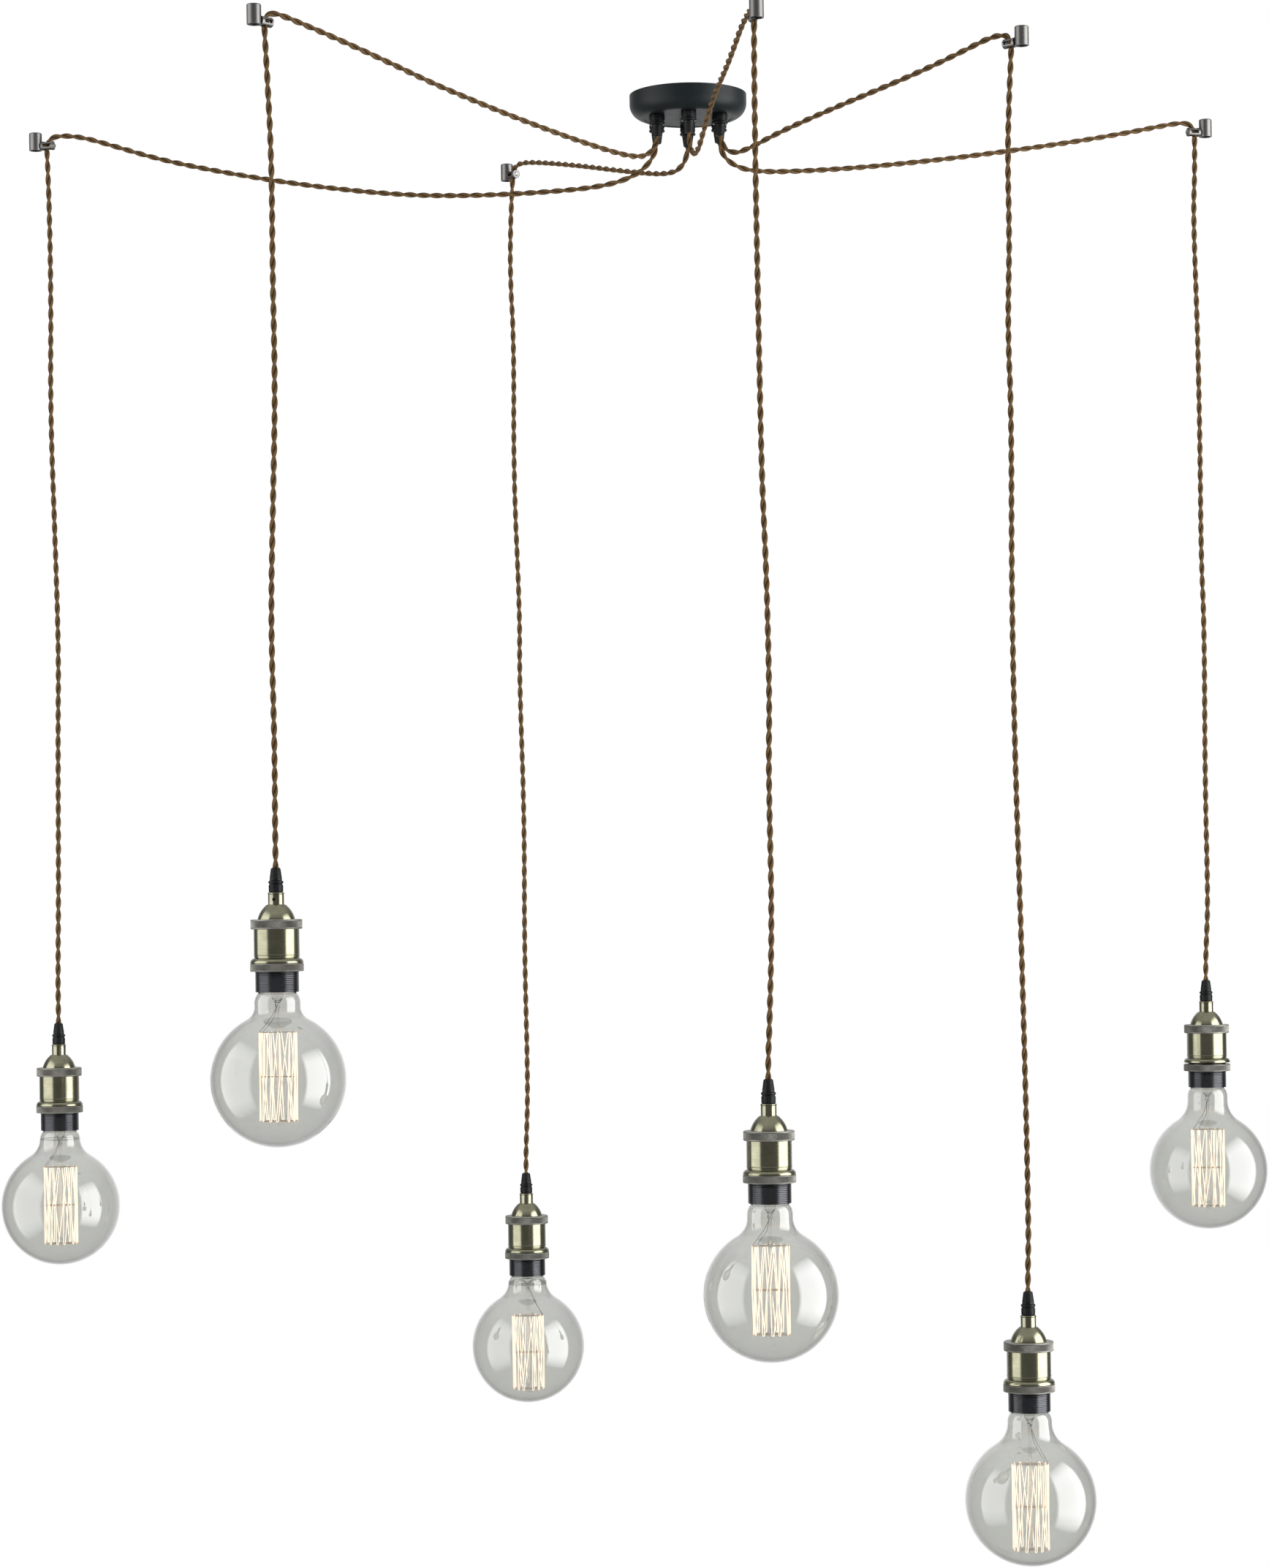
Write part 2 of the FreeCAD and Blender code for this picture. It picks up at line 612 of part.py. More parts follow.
def drop_cord(index):
    """The flex that hangs from the hook, with a round top that turns in the hook."""
    x, y = PENDANTS[index]["drop"]
    foot = holder_seat(index) + HOLDER_TOP - GRIP_FLEX_DEPTH
    radius = FLEX_DIAMETER / 2
    slope = radius * math.sqrt(0.5)
    drop = turned([
        (0, foot),
        (radius, foot),
        (radius, SWING_CENTRE),
        (slope, SWING_CENTRE + slope, 0, SWING_CENTRE + radius),
    ])
    drop.translate(V(x, y, 0))
    print("drop", index + 1, "length", round(SWING_CENTRE + radius - foot, 1))
    return drop


# Lamp holder

def holder_seat(index):
    """Height of the lower edge of a holder's skirt."""
    return PENDANTS[index]["globe"] + PENDANTS[index]["neck"] + GLOBE_DEPTH


def holder_sleeve():
    """The brass sleeve between the grip and the dome, with its set-screw hole."""
    radius = SLEEVE_DIAMETER / 2
    bore = GRIP_SPIGOT_DIAMETER / 2 + GRIP_SPIGOT_GAP
    bead_foot = SLEEVE_TOP - SLEEVE_BEAD_HEIGHT
    sleeve = turned([
        (bore, DOME_TOP),
        (radius, DOME_TOP),
        (radius, bead_foot),
        (radius + SLEEVE_BEAD_PROUD, (bead_foot + SLEEVE_TOP) / 2, radius, SLEEVE_TOP),
        (bore, SLEEVE_TOP),
    ])
    height = (DOME_TOP + bead_foot) / 2
    hole = rod(V(0, 0, height), V(0, -SLEEVE_DIAMETER, height), SLEEVE_SCREW_HOLE)
    return sleeve.cut(hole)


def holder_dome():
    """The spun cap: an ogive dome over a lip that the union ring pulls down."""
    foot = DOME_FOOT_DIAMETER / 2
    top = DOME_TOP_DIAMETER / 2
    lip_foot = UNION_FOOT + UNION_OVERLAP
    lip_top = lip_foot + DOME_LIP_HEIGHT
    bore = GRIP_SPIGOT_DIAMETER / 2 + GRIP_SPIGOT_GAP
    bulge = (top + (foot - top) * DOME_BULGE_SHARE, UNION_TOP + DOME_HEIGHT * DOME_BULGE_SHARE)
    inner_top = DOME_TOP - DOME_WALL
    return turned([
        (foot - DOME_WALL, lip_foot),
        (BODY_DIAMETER / 2, lip_foot),
        (BODY_DIAMETER / 2, lip_top),
        (foot, lip_top),
        (foot, UNION_TOP),
        bulge + (top, DOME_TOP),
        (bore, DOME_TOP),
        (bore, inner_top),
        (top - DOME_WALL, inner_top),
        (bulge[0] - DOME_WALL, bulge[1] - DOME_WALL, foot - DOME_WALL, UNION_TOP),
    ])


def holder_body():
    """The brass body: a plain tube with a fine bead and a flange that flares over the ring."""
    radius = BODY_DIAMETER / 2
    rim = FLANGE_DIAMETER / 2
    top = UNION_FOOT + UNION_OVERLAP
    bead = BODY_FOOT + BODY_BEAD_HEIGHT
    lip = FLANGE_FOOT + 2 * BODY_WALL
    flare = (radius + (rim - radius) * FLARE_ACROSS_SHARE, lip + (BODY_FOOT - lip) * FLARE_RISE_SHARE)
    under = (flare[0] - BODY_WALL, flare[1] - BODY_WALL)
    return turned([
        (BODY_BORE, top),
        (BODY_BORE, BODY_FOOT),
        under + (rim - 2 * BODY_WALL, FLANGE_FOOT),
        (rim, FLANGE_FOOT),
        (rim, lip),
        flare + (radius, BODY_FOOT),
        (radius, bead - BODY_BEAD_PROUD),
        (radius + BODY_BEAD_PROUD, bead, radius, bead + BODY_BEAD_PROUD),
        (radius, top),
    ])


def union_ring():
    """The upper ring nut, which joins the dome to the body."""
    outer = UNION_DIAMETER / 2
    bore = BODY_DIAMETER / 2 + UNION_BORE_CLEARANCE
    neck = DOME_FOOT_DIAMETER / 2 + UNION_BORE_CLEARANCE
    ledge = UNION_FOOT + UNION_OVERLAP + DOME_LIP_HEIGHT + SEAT_GAP
    low = (outer - UNION_EDGE, UNION_FOOT)
    low_side = (outer, UNION_FOOT + UNION_EDGE)
    high_side = (outer, UNION_TOP - UNION_EDGE)
    high = (outer - UNION_EDGE, UNION_TOP)
    return turned([
        (bore, UNION_FOOT),
        low,
        rounded(low, low_side, UNION_EDGE, (1, -1)) + low_side,
        high_side,
        rounded(high_side, high, UNION_EDGE, (1, 1)) + high,
        (neck, UNION_TOP),
        (neck, ledge),
        (bore, ledge),
    ])


def socket_skirt():
    """The threaded skirt: the shade ring runs on it, and it carries the core."""
    radius = SKIRT_DIAMETER / 2
    bore = radius - SKIRT_WALL
    return turned([(bore, 0), (radius, 0), (radius, SKIRT_TOP), (bore, SKIRT_TOP)])


def socket_core():
    """The ceramic core that hangs in the skirt by its flange, with the centre contact."""
    skirt_bore = SKIRT_DIAMETER / 2 - SKIRT_WALL
    outer = skirt_bore - CORE_CLEARANCE
    bore = CORE_BORE / 2
    flange = BODY_BORE - CORE_CLEARANCE
    top = SKIRT_TOP + CORE_FLANGE_HEIGHT
    roof = LAMP_TIP + CONTACT_GAP + CONTACT_HEIGHT
    contact = CONTACT_DIAMETER / 2
    core = turned([
        (bore, CORE_FLOOR),
        (outer, CORE_FLOOR),
        (outer, SKIRT_TOP),
        (flange, SKIRT_TOP),
        (flange, top),
        (0, top),
        (0, roof - CONTACT_HEIGHT),
        (contact, roof - CONTACT_HEIGHT),
        (contact, roof),
        (bore, roof),
    ])
    holes = [rod(V(side * WIRE_HOLE_SPREAD / 2, 0, roof - WIRE_HOLE_DIAMETER),
                 V(side * WIRE_HOLE_SPREAD / 2, 0, top + WIRE_HOLE_DIAMETER), WIRE_HOLE_DIAMETER)
             for side in (-1, 1)]
    return core.cut(holes)


def shade_ring():
    """The lower ring, which winds up the skirt to trap a shade under the flange."""
    outer = RING_DIAMETER / 2
    bore = SKIRT_DIAMETER / 2 + RING_BORE_CLEARANCE
    low = (outer - RING_EDGE, RING_FOOT)
    low_side = (outer, RING_FOOT + RING_EDGE)
    high_side = (outer, RING_TOP - RING_EDGE)
    high = (outer - RING_EDGE, RING_TOP)
    return turned([
        (bore, RING_FOOT),
        low,
        rounded(low, low_side, RING_EDGE, (1, -1)) + low_side,
        high_side,
        rounded(high_side, high, RING_EDGE, (1, 1)) + high,
        (bore, RING_TOP),
    ])


# Globe lamp, measured from the lower edge of the skirt

def globe_outline(wall, depth):
    """The globe and neck's outline, wall inside the outer face: from the foot to the seal.
    The globe's centre is at this depth."""
    globe = GLOBE_DIAMETER / 2 - wall
    neck = NECK_DIAMETER / 2 - wall
    fillet = NECK_FILLET + wall
    reach = globe + fillet
    across = neck + fillet
    rise = math.sqrt(reach ** 2 - across ** 2)
    join = (across * globe / reach, -depth + rise * globe / reach)
    lean = math.atan2(rise, across)
    mid_fillet = (across - fillet * math.cos(lean / 2), -depth + rise - fillet * math.sin(lean / 2))
    side = lean / 2 - math.pi / 4
    mouth = NECK_MOUTH_DIAMETER / 2 - wall
    seal = NECK_SEAL_DIAMETER / 2 - wall
    shoulder = (mouth + (neck - mouth) * SHOULDER_ACROSS_SHARE, -NECK_SHOULDER * SHOULDER_DROP_SHARE)
    return [
        (0, -depth - globe),
        (globe * math.cos(side), -depth + globe * math.sin(side)) + join,
        mid_fillet + (neck, -depth + rise),
        (neck, -NECK_SHOULDER),
        shoulder + (mouth, 0),
        (seal, NECK_SEAL_FOOT),
        (seal, NECK_SEAL_HEIGHT + wall),
    ]


def bulb_glass(neck):
    """The clear globe, blown in one piece with its neck and open at the seal."""
    outer = globe_outline(0, GLOBE_DEPTH + neck)
    inner = globe_outline(GLASS_WALL, GLOBE_DEPTH + neck)
    foot = turned(outer + [(0, NECK_SEAL_HEIGHT)])
    hollow = turned(inner + [(0, NECK_SEAL_HEIGHT + GLASS_WALL)])
    return foot.cut(hollow)


def bulb_cap():
    """The screw cap, cemented round the neck, with its insulator and contact."""
    outer = CAP_DIAMETER / 2
    inner = outer - CAP_WALL
    top = CAP_FOOT + CAP_HEIGHT
    tip = CAP_TIP_DIAMETER / 2
    cone = top + CAP_INSULATOR_HEIGHT
    return turned([
        (inner, CAP_FOOT),
        (outer, CAP_FOOT),
        (outer, top),
        (tip, cone),
        (tip / 2, cone + CAP_TIP_HEIGHT),
        (0, cone + CAP_TIP_HEIGHT),
        (0, top - CAP_WALL),
        (inner, top - CAP_WALL),
    ])


def cage_point(turns, height, radius):
    """A point on the filament cage."""
    angle = 2 * math.pi * turns
    return V(radius * math.cos(angle), radius * math.sin(angle), height)


def bulb_stem(lower):
    """The glass stem and rod, with the lead wires and three spiders of support wires,
    this much lower than usual."""
    cage_top = CAGE_TOP - lower
    cage_foot = CAGE_FOOT - lower
    stem = STEM_DIAMETER / 2
    bar = ROD_DIAMETER / 2
    flare = NECK_SEAL_DIAMETER / 2 - GLASS_WALL - SEAT_GAP
    flare_foot = NECK_SEAL_HEIGHT - GLASS_WALL
    end = cage_foot - HUB_HEIGHT
    pieces = [turned([
        (0, end),
        (bar, end),
        (bar, PRESS_FOOT),
        (stem * PRESS_WAIST_SHARE, (PRESS_FOOT + STEM_FOOT) / 2),
        (stem, STEM_FOOT),
        (stem, flare_foot - stem / 2),
        (flare, flare_foot),
        (flare, NECK_SEAL_HEIGHT),
        (0, NECK_SEAL_HEIGHT),
    ])]
    reach = CAGE_DIAMETER / 2 - SUPPORT_INSET
    levels = [(cage_top, 0.5), ((cage_top + cage_foot) / 2, 0.25), (cage_foot, 0)]
    for height, phase in levels:
        pieces.append(Part.makeSphere(HUB_DIAMETER / 2, V(0, 0, height)))
        for pin in range(HAIRPINS):
            tip = cage_point((pin + phase) / HAIRPINS, height, reach)
            pieces.append(rod(V(0, 0, height), tip, SUPPORT_DIAMETER))
    for side in (0, 1):
        start = cage_point(side / 2 + 0.25, PRESS_FOOT, bar)
        pieces.append(rod(start, cage_point(side / HAIRPINS, cage_top, reach), LEAD_DIAMETER))
    return pieces[0].fuse(pieces[1:]).removeSplitter()


def bulb_filament():
    """One wire that runs up and down between the supports, round the cage."""
    lean = CAGE_DIAMETER / 2 * 2 * math.pi / HAIRPINS / 2
    legs = CAGE_TOP - CAGE_FOOT
    past = FILAMENT_BEND * legs / (lean - 2 * FILAMENT_BEND)
    points = []
    for pin in range(HAIRPINS):
        points.append(cage_point(pin / HAIRPINS, CAGE_FOOT - past, CAGE_DIAMETER / 2))
        points.append(cage_point((pin + 0.5) / HAIRPINS, CAGE_TOP + past, CAGE_DIAMETER / 2))
    trim = past / (legs + 2 * past)
    points[0] = points[0] + (points[1] - points[0]) * trim
    points[-1] = points[-1] + (points[-2] - points[-1]) * trim
    wire, length, radii = path_of_runs(points, lambda before, after, turn: FILAMENT_BEND)
    wire_tube = tube_on(wire, points[0], points[1] - points[0], FILAMENT_DIAMETER)
    section = math.pi * FILAMENT_DIAMETER ** 2 / 4
    print("filament length", round(length, 1), "volume / section x length",
          round(wire_tube.Volume / (section * length), 4), "least gap", round(least_gap(wire), 2))
    return wire_tube


def least_gap(wire):
    """The least clear gap between the filament's legs, measured on points of its line."""
    legs = [edge.discretize(40) for edge in wire.Edges if edge.Length > CAGE_DIAMETER]
    nearest = min(p.distanceToPoint(q)
                  for a, b in zip(legs, legs[1:]) for p in a for q in b)
    return nearest - FILAMENT_DIAMETER


# Assembly

def placed(shape, index):
    """A holder or lamp piece set at its pendant."""
    x, y = PENDANTS[index]["drop"]
    copy = shape.copy()
    copy.rotate(ORIGIN, UP, PENDANTS[index]["turn"])
    copy.translate(V(x, y, holder_seat(index)))
    return copy


def seated_grip():
    """The grip on a lamp holder, its spigot screwed down through the sleeve into the dome."""
    pieces = [grip_base(SLEEVE_HEIGHT + DOME_WALL, 1), grip_nut()]
    for piece in pieces:
        piece.translate(V(0, 0, SLEEVE_TOP))
    return pieces


def build():
    """Every node of the light: a name and its separate solids."""
    nodes = {
        "canopy_shell": [canopy_shell()],
        "mounting_bracket": [mounting_bracket()] + side_screws(),
        "terminal_block": [terminal_block()],
        "canopy_cord_grips": canopy_cord_grips(),
    }
    count = range(len(PENDANTS))
    cup_and_arm = [hook_cup(), hook_arm()]
    nodes["ceiling_hooks"] = [at_hook(piece, i) for i in count for piece in cup_and_arm]
    screw = clamp_screw()
    nodes["hook_clamp_screws"] = [at_hook(screw, i) for i in count]
    holder = {
        "cord_grip": seated_grip(),
        "holder_shell": [holder_sleeve(), holder_dome(), holder_body()],
        "union_ring": [union_ring()],
        "socket": [socket_skirt(), socket_core()],
        "shade_ring": [shade_ring()],
    }
    cap = bulb_cap()
    filament = bulb_filament()
    for index in count:
        neck = PENDANTS[index]["neck"]
        lower = neck + PENDANTS[index]["cage"]
        holder["bulb_glass"] = [bulb_glass(neck)]
        holder["bulb_mount"] = [cap, bulb_stem(lower), filament.translated(V(0, 0, -lower))]
        nodes["swag_cord_%d" % (index + 1)] = [swag_cord(index)]
        nodes["drop_cord_%d" % (index + 1)] = [drop_cord(index)]
        for name, solids in holder.items():
            copies = [placed(solid, index) for solid in solids]
            if name == "shade_ring":
                copies[0].translate(V(0, 0, -RING_WOUND_DOWN[index]))
            nodes["%s_%d" % (name, index + 1)] = copies
    return nodes


def main():
    os.makedirs("parts", exist_ok=True)
    for name, solids in build().items():
        for solid in solids:
            if not solid.isValid() or len(solid.Solids) != 1:
                print("not one valid solid:", name, solid.ShapeType, len(solid.Solids))
        Part.makeCompound(solids).exportStep("parts/%s.step" % name)


main()
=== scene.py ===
"""Dresses a six-light swag pendant: a black canopy, twisted fabric flexes carried over ceiling
hooks, aged brass lamp holders with knurled rings, and clear globe lamps with glowing cages."""
import math

import bmesh
import bpy
from mathutils import Matrix, Vector, kdtree


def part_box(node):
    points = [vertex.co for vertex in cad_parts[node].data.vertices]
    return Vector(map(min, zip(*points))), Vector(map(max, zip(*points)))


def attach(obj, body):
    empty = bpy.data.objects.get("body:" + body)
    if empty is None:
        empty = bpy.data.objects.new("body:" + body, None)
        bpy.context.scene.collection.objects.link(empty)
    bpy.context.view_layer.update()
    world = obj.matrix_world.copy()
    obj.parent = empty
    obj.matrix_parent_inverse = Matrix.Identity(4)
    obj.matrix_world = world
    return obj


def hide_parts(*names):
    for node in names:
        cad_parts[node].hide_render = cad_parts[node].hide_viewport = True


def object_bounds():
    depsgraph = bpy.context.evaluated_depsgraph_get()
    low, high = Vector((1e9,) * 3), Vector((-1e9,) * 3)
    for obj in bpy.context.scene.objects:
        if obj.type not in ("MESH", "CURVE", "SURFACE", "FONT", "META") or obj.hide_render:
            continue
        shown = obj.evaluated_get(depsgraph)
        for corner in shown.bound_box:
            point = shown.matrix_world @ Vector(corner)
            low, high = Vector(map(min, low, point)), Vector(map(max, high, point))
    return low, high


bl_info = {
    "name": "Swag pendant light",
    "version": (1, 0, 0),
    "blender": (4, 5, 0),
    "location": "View3D > Sidebar > Pendant",
    "description": "Builds the looks of a six-light swag pendant around its solid model",
    "category": "Object",
}

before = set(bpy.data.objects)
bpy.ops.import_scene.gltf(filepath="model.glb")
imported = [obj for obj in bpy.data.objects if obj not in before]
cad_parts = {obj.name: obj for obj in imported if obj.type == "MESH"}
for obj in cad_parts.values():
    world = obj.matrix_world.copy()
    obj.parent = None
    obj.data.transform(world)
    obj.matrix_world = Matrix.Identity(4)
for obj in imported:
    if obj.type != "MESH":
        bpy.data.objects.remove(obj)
CAD_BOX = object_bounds()

MM = 0.001
PENDANTS = range(1, 7)
FULL_TURN = 2 * math.pi

# Swag routes in their upright planes, in millimetres: distance from the canopy's outlet
# towards the hook, and height under the ceiling.
SWAGS = [
    [(8, -66), (28, -80), (62, -87.5), (120, -90), (190, -90), (260, -86.5), (330, -77.5),
     (400, -65.5), (470, -51), (535, -35), (586, -18), (620, -7), (642, -4)],
    [(7, -62), (24, -71), (58, -71.5), (115, -66.5), (180, -59), (245, -50), (315, -39),
     (380, -26), (444, -14.5), (486, -7.7), (508, -4.6)],
    [(6, -60), (20, -67), (46, -66), (88, -57.5), (138, -46), (190, -33.5), (240, -22),
     (287, -12), (318, -6), (336, -4)],
    [(9, -65), (30, -75), (58, -73), (85, -62), (120, -49), (165, -37), (215, -29),
     (262, -18), (300, -8), (326, -5), (345, -4)],
    [(7, -61), (22, -67.5), (48, -62.5), (80, -54.5), (125, -46), (175, -37.5), (225, -29.5),
     (275, -20.5), (315, -12), (340, -6), (355, -4)],
    [(7, -63), (24, -72), (50, -74), (90, -71.5), (145, -66.5), (205, -59), (265, -50.5),
     (330, -40), (390, -29.7), (445, -19), (488, -9.5), (510, -5)],
]
OUTLET_ANGLES = [150, -150, 90, -90, -30, 30]
OUTLET_CIRCLE = 37
HOOK_BEND = [(-6, -5.2), (0, -11.5)]
MOUTH_RUN = 3
GRIP_RUN = 24
SWAG_STEPS = 32
DROP_STEPS = 72

# How far a strand's middle is from the flex's middle, as a share of the strand's diameter.
STRAND_SPREAD = 0.46

# Gentle waves of the hanging flexes, in millimetres: height and how far to the right of plumb.
DROP_WAVES = [
    [(-52, 1.5), (-169, 2.5), (-296, 0), (-423, 3), (-550, 5.5), (-640, 3.5), (-804, 2), (-900, 0)],
    [(-52, 1.5), (-141, 5), (-247, 4.5), (-352, 5.5), (-458, 2), (-563, -1.5), (-668, 0.5), (-750, 0)],
    [(-52, -2.5), (-125, -4.5), (-201, -1), (-352, -3.5), (-503, 1.5), (-578, 0), (-729, 3.5),
     (-879, 1.5), (-1030, 3.5), (-1090, 1)],
    [(-52, -0.5), (-174, -0.5), (-308, 0.5), (-441, 1.5), (-520, 4.5), (-641, 6), (-708, 4),
     (-842, 5.5), (-940, 2)],
    [(-52, -2), (-122, -5), (-203, -4), (-285, -7), (-366, -4.5), (-529, -6.5), (-693, -5.5),
     (-856, -2), (-1019, 0.5), (-1150, 1.5)],
    [(-52, 0), (-103, -2.5), (-225, 0.5), (-347, 1.5), (-469, 1), (-540, 3.5), (-713, 2),
     (-835, 3.5), (-880, 1)],
]

# Canopy in millimetres.
CANOPY_CORNER = 14.5
CANOPY_SKIN = 1.2
FACE_STEP = 0.5
SIDE_SCREW_HEIGHT = -5.5
SIDE_SCREW_BORE = 2.25
CANOPY_GRIP_GIRTH = 1.17
LOCK_NUT_RADIUS = 9.2
LOCK_NUT_HEIGHT = 4.5
LOCK_NUT_LEVEL = -3.45
SPIGOT_FOOT = -7.2
SPIGOT_BORE = 2.1

# Lamp holder levels in millimetres above the lower edge of its threaded skirt.
RING_FOOT = 19
RING_TOP = 26.3
FLANGE_FOOT = 26.4
BODY_FOOT = 31.5
UNION_FOOT = 57.7
UNION_LEDGE = 62.9
UNION_TOP = 66.8
DOME_FOOT = 61.1
DOME_TOP = 80.4
SLEEVE_BEAD = 89.6
SLEEVE_TOP = 91.5
SKIRT_TOP = 44.4
CORE_FOOT = 13.5
CORE_TOP = 46.9
CORE_ROOF = 36.9
GRIP_BASE_HEIGHT = 7.7
GRIP_LIP_HEIGHT = 3.2
GRIP_HEIGHT = 22.6
GRIP_FLEX_DEPTH = 8

# How far each holder is turned about its flex, in degrees; its set screw shows the turn.
HOLDER_TURNS = [140, -11, 160, 215, 190, 110]

# Radii in millimetres.
SKIRT_RADIUS = 20.15
SKIRT_BORE = 18.05
RING_RADIUS = 24.65
RING_BORE = 20.35
UNION_RADIUS = 23.8
UNION_BORE = 21.1
UNION_NECK = 17.5
BODY_RADIUS = 20.9
FLANGE_RADIUS = 24.4
DOME_FOOT_RADIUS = 17.3
DOME_TOP_RADIUS = 8.5
SLEEVE_RADIUS = 7.3
SPIGOT_RADIUS = 5
FLEX_BORE = 2.95
CORE_BORE = 13.6
CORE_FLANGE = 20
UNION_ROUND = 1.2
RING_ROUND = 0.8
RIB_HEIGHT = 0.22
SET_SCREW_BORE = 1.6

# Globe lamp in millimetres from the lower edge of the skirt.
GLOBE_RADIUS = 62.5
GLOBE_DEPTH = 80.5
GLASS_WALL = 0.9
NECK_RADIUS = 21.25
NECK_SHOULDER = 10
NECK_MOUTH = 17
SEAL_RADIUS = 12.2
SEAL_FOOT = 8.5
SEAL_TOP = 12
CAP_FOOT = 9.5
CAP_RADIUS = 13.2
CAGE_RADIUS = 17.4
CAGE_TOP = -37
CAGE_FOOT = -118.5
PRESS_FOOT = -12
ROD_RADIUS = 1.5
SUPPORT_WIRE = 0.4
LEAD_WIRE = 0.45

# The filament's wire: hairpins round the cage, and shares of a hairpin's width for the twist of the
# cage, half the width of a loop, and how unevenly the loops and the middle supports hold it.
HAIRPINS = 13
CAGE_TWIST = 0.3
LOOP_HALF = 0.11
LOOP_SWAY = 0.16
CATCH_SWAY = 0.2
# Height of a loop's bend, and how far the wire is caught above or below the middle, in millimetres.
LOOP_RISE = 0.7
CATCH_RISE = 3

# How much longer than usual each lamp's neck is, the bend from it into the globe, how much lower
# its filament hangs, and the side that its lead wires are on, in degrees.
LAMP_NECKS = [0, 0, -1.4, 3.7, 4.1, 8.2]
LAMP_BENDS = [21, 13, 22, 19, 24, 25]
LAMP_CAGES = [2, 0, 9.5, -1.5, 9.3, 0]
LAMP_TURNS = [190, 200, -12, 195, 8, 203]

# Photograph's size in pixels, and the camera that fits it.
PHOTO_HEIGHT = 2145
FOCAL_PIXELS = 5069.33
HORIZON_DROP_PIXELS = 157.5
SENSOR = 36
CAMERA_PLACE = (-0.06576, -3.80430, -0.82462)
CAMERA_ROLL = 0.768

# The stage in metres: the floor, the light panels and the shares of a panel that fade at its edges.
FLOOR_RADIUS = 0.95
LEFT_PANEL = Vector((-2.5, -0.9, -0.9))
RIGHT_PANEL = Vector((2.5, -0.9, -0.9))
FRONT_PANEL = Vector((-0.4, -3.4, 1.6))
PANEL_AIM = Vector((0, 0, -0.9))
SIDE_PANEL_SIZE = (3.0, 5.2)
FRONT_PANEL_SIZE = (1.6, 1.2)
SIDE_FADE = 0.09
END_FADE = 0.2

# Where reflections brighten towards the back, and upwards towards the ceiling.
BACK_FADE = (0.7, 0.98)
CEILING_FADE = (0.35, 0.8)

# The set screw's place in the sleeve's side, looking along its axis.
SCREW_HEIGHT = (DOME_TOP + SLEEVE_BEAD) / 2
SCREW_PLACE = (Matrix.Translation(Vector((0, -SLEEVE_RADIUS, SCREW_HEIGHT)) * MM)
               @ Matrix.Rotation(math.pi / 2, 4, "X"))


class FlexSettings(bpy.types.PropertyGroup):
    """The twisted flexes."""
    strand: bpy.props.FloatProperty(
        name="Strand", description="Diameter of one strand", default=0.00304, unit="LENGTH", precision=5)
    lay: bpy.props.FloatProperty(
        name="Lay", description="Length of one full twist", default=0.0285, unit="LENGTH", precision=5)
    # The dark and light colours are the ends of the braid's tone, which carries painted shade in the
    # hollows where the strands meet as well as the yarn's pattern.
    dark: bpy.props.FloatVectorProperty(
        name="Dark yarn", description="Colour in the hollows of the braid", subtype="COLOR", size=4,
        default=(0.016, 0.010, 0.004, 1))
    light: bpy.props.FloatVectorProperty(
        name="Light yarn", description="Colour on the crowns of the braid", subtype="COLOR", size=4,
        default=(0.162, 0.092, 0.033, 1))


class CanopySettings(bpy.types.PropertyGroup):
    """The canopy, its grips and the hooks."""
    paint: bpy.props.FloatVectorProperty(
        name="Paint", description="Colour of the canopy", subtype="COLOR", size=4,
        default=(0.0065, 0.0100, 0.0110, 1))
    plastic: bpy.props.FloatVectorProperty(
        name="Grip plastic", description="Colour of the cord grips", subtype="COLOR", size=4,
        default=(0.003, 0.0034, 0.004, 1))
    steel: bpy.props.FloatVectorProperty(
        name="Hook steel", description="Colour of the ceiling hooks", subtype="COLOR", size=4,
        default=(0.20, 0.195, 0.19, 1))
    terminal: bpy.props.FloatVectorProperty(
        name="Terminal plastic", description="Colour of the terminal block", subtype="COLOR", size=4,
        default=(0.36, 0.35, 0.32, 1))
    ribs: bpy.props.IntProperty(
        name="Grip ribs", description="Ribs round a cord grip", default=24, min=8)


class HolderSettings(bpy.types.PropertyGroup):
    """The lamp holders."""
    brass: bpy.props.FloatVectorProperty(
        name="Brass", description="Colour of the aged brass", subtype="COLOR", size=4,
        default=(0.288, 0.282, 0.196, 1))
    pewter: bpy.props.FloatVectorProperty(
        name="Ring metal", description="Colour of the knurled rings", subtype="COLOR", size=4,
        default=(0.335, 0.33, 0.298, 1))
    nickel: bpy.props.FloatVectorProperty(
        name="Skirt metal", description="Colour of the threaded skirt", subtype="COLOR", size=4,
        default=(0.068, 0.070, 0.076, 1))
    knurl_pitch: bpy.props.FloatProperty(
        name="Knurl pitch", description="Width of one knurl diamond", default=0.0015, unit="LENGTH",
        precision=5)
    knurl_depth: bpy.props.FloatProperty(
        name="Knurl depth", description="Depth of the knurl", default=0.00042, unit="LENGTH", precision=5)
    thread_pitch: bpy.props.FloatProperty(
        name="Thread pitch", description="Spacing of the skirt's ridges", default=0.0017, unit="LENGTH",
        precision=5)
    thread_depth: bpy.props.FloatProperty(
        name="Thread depth", description="Depth of the skirt's ridges", default=0.0004, unit="LENGTH",
        precision=5)


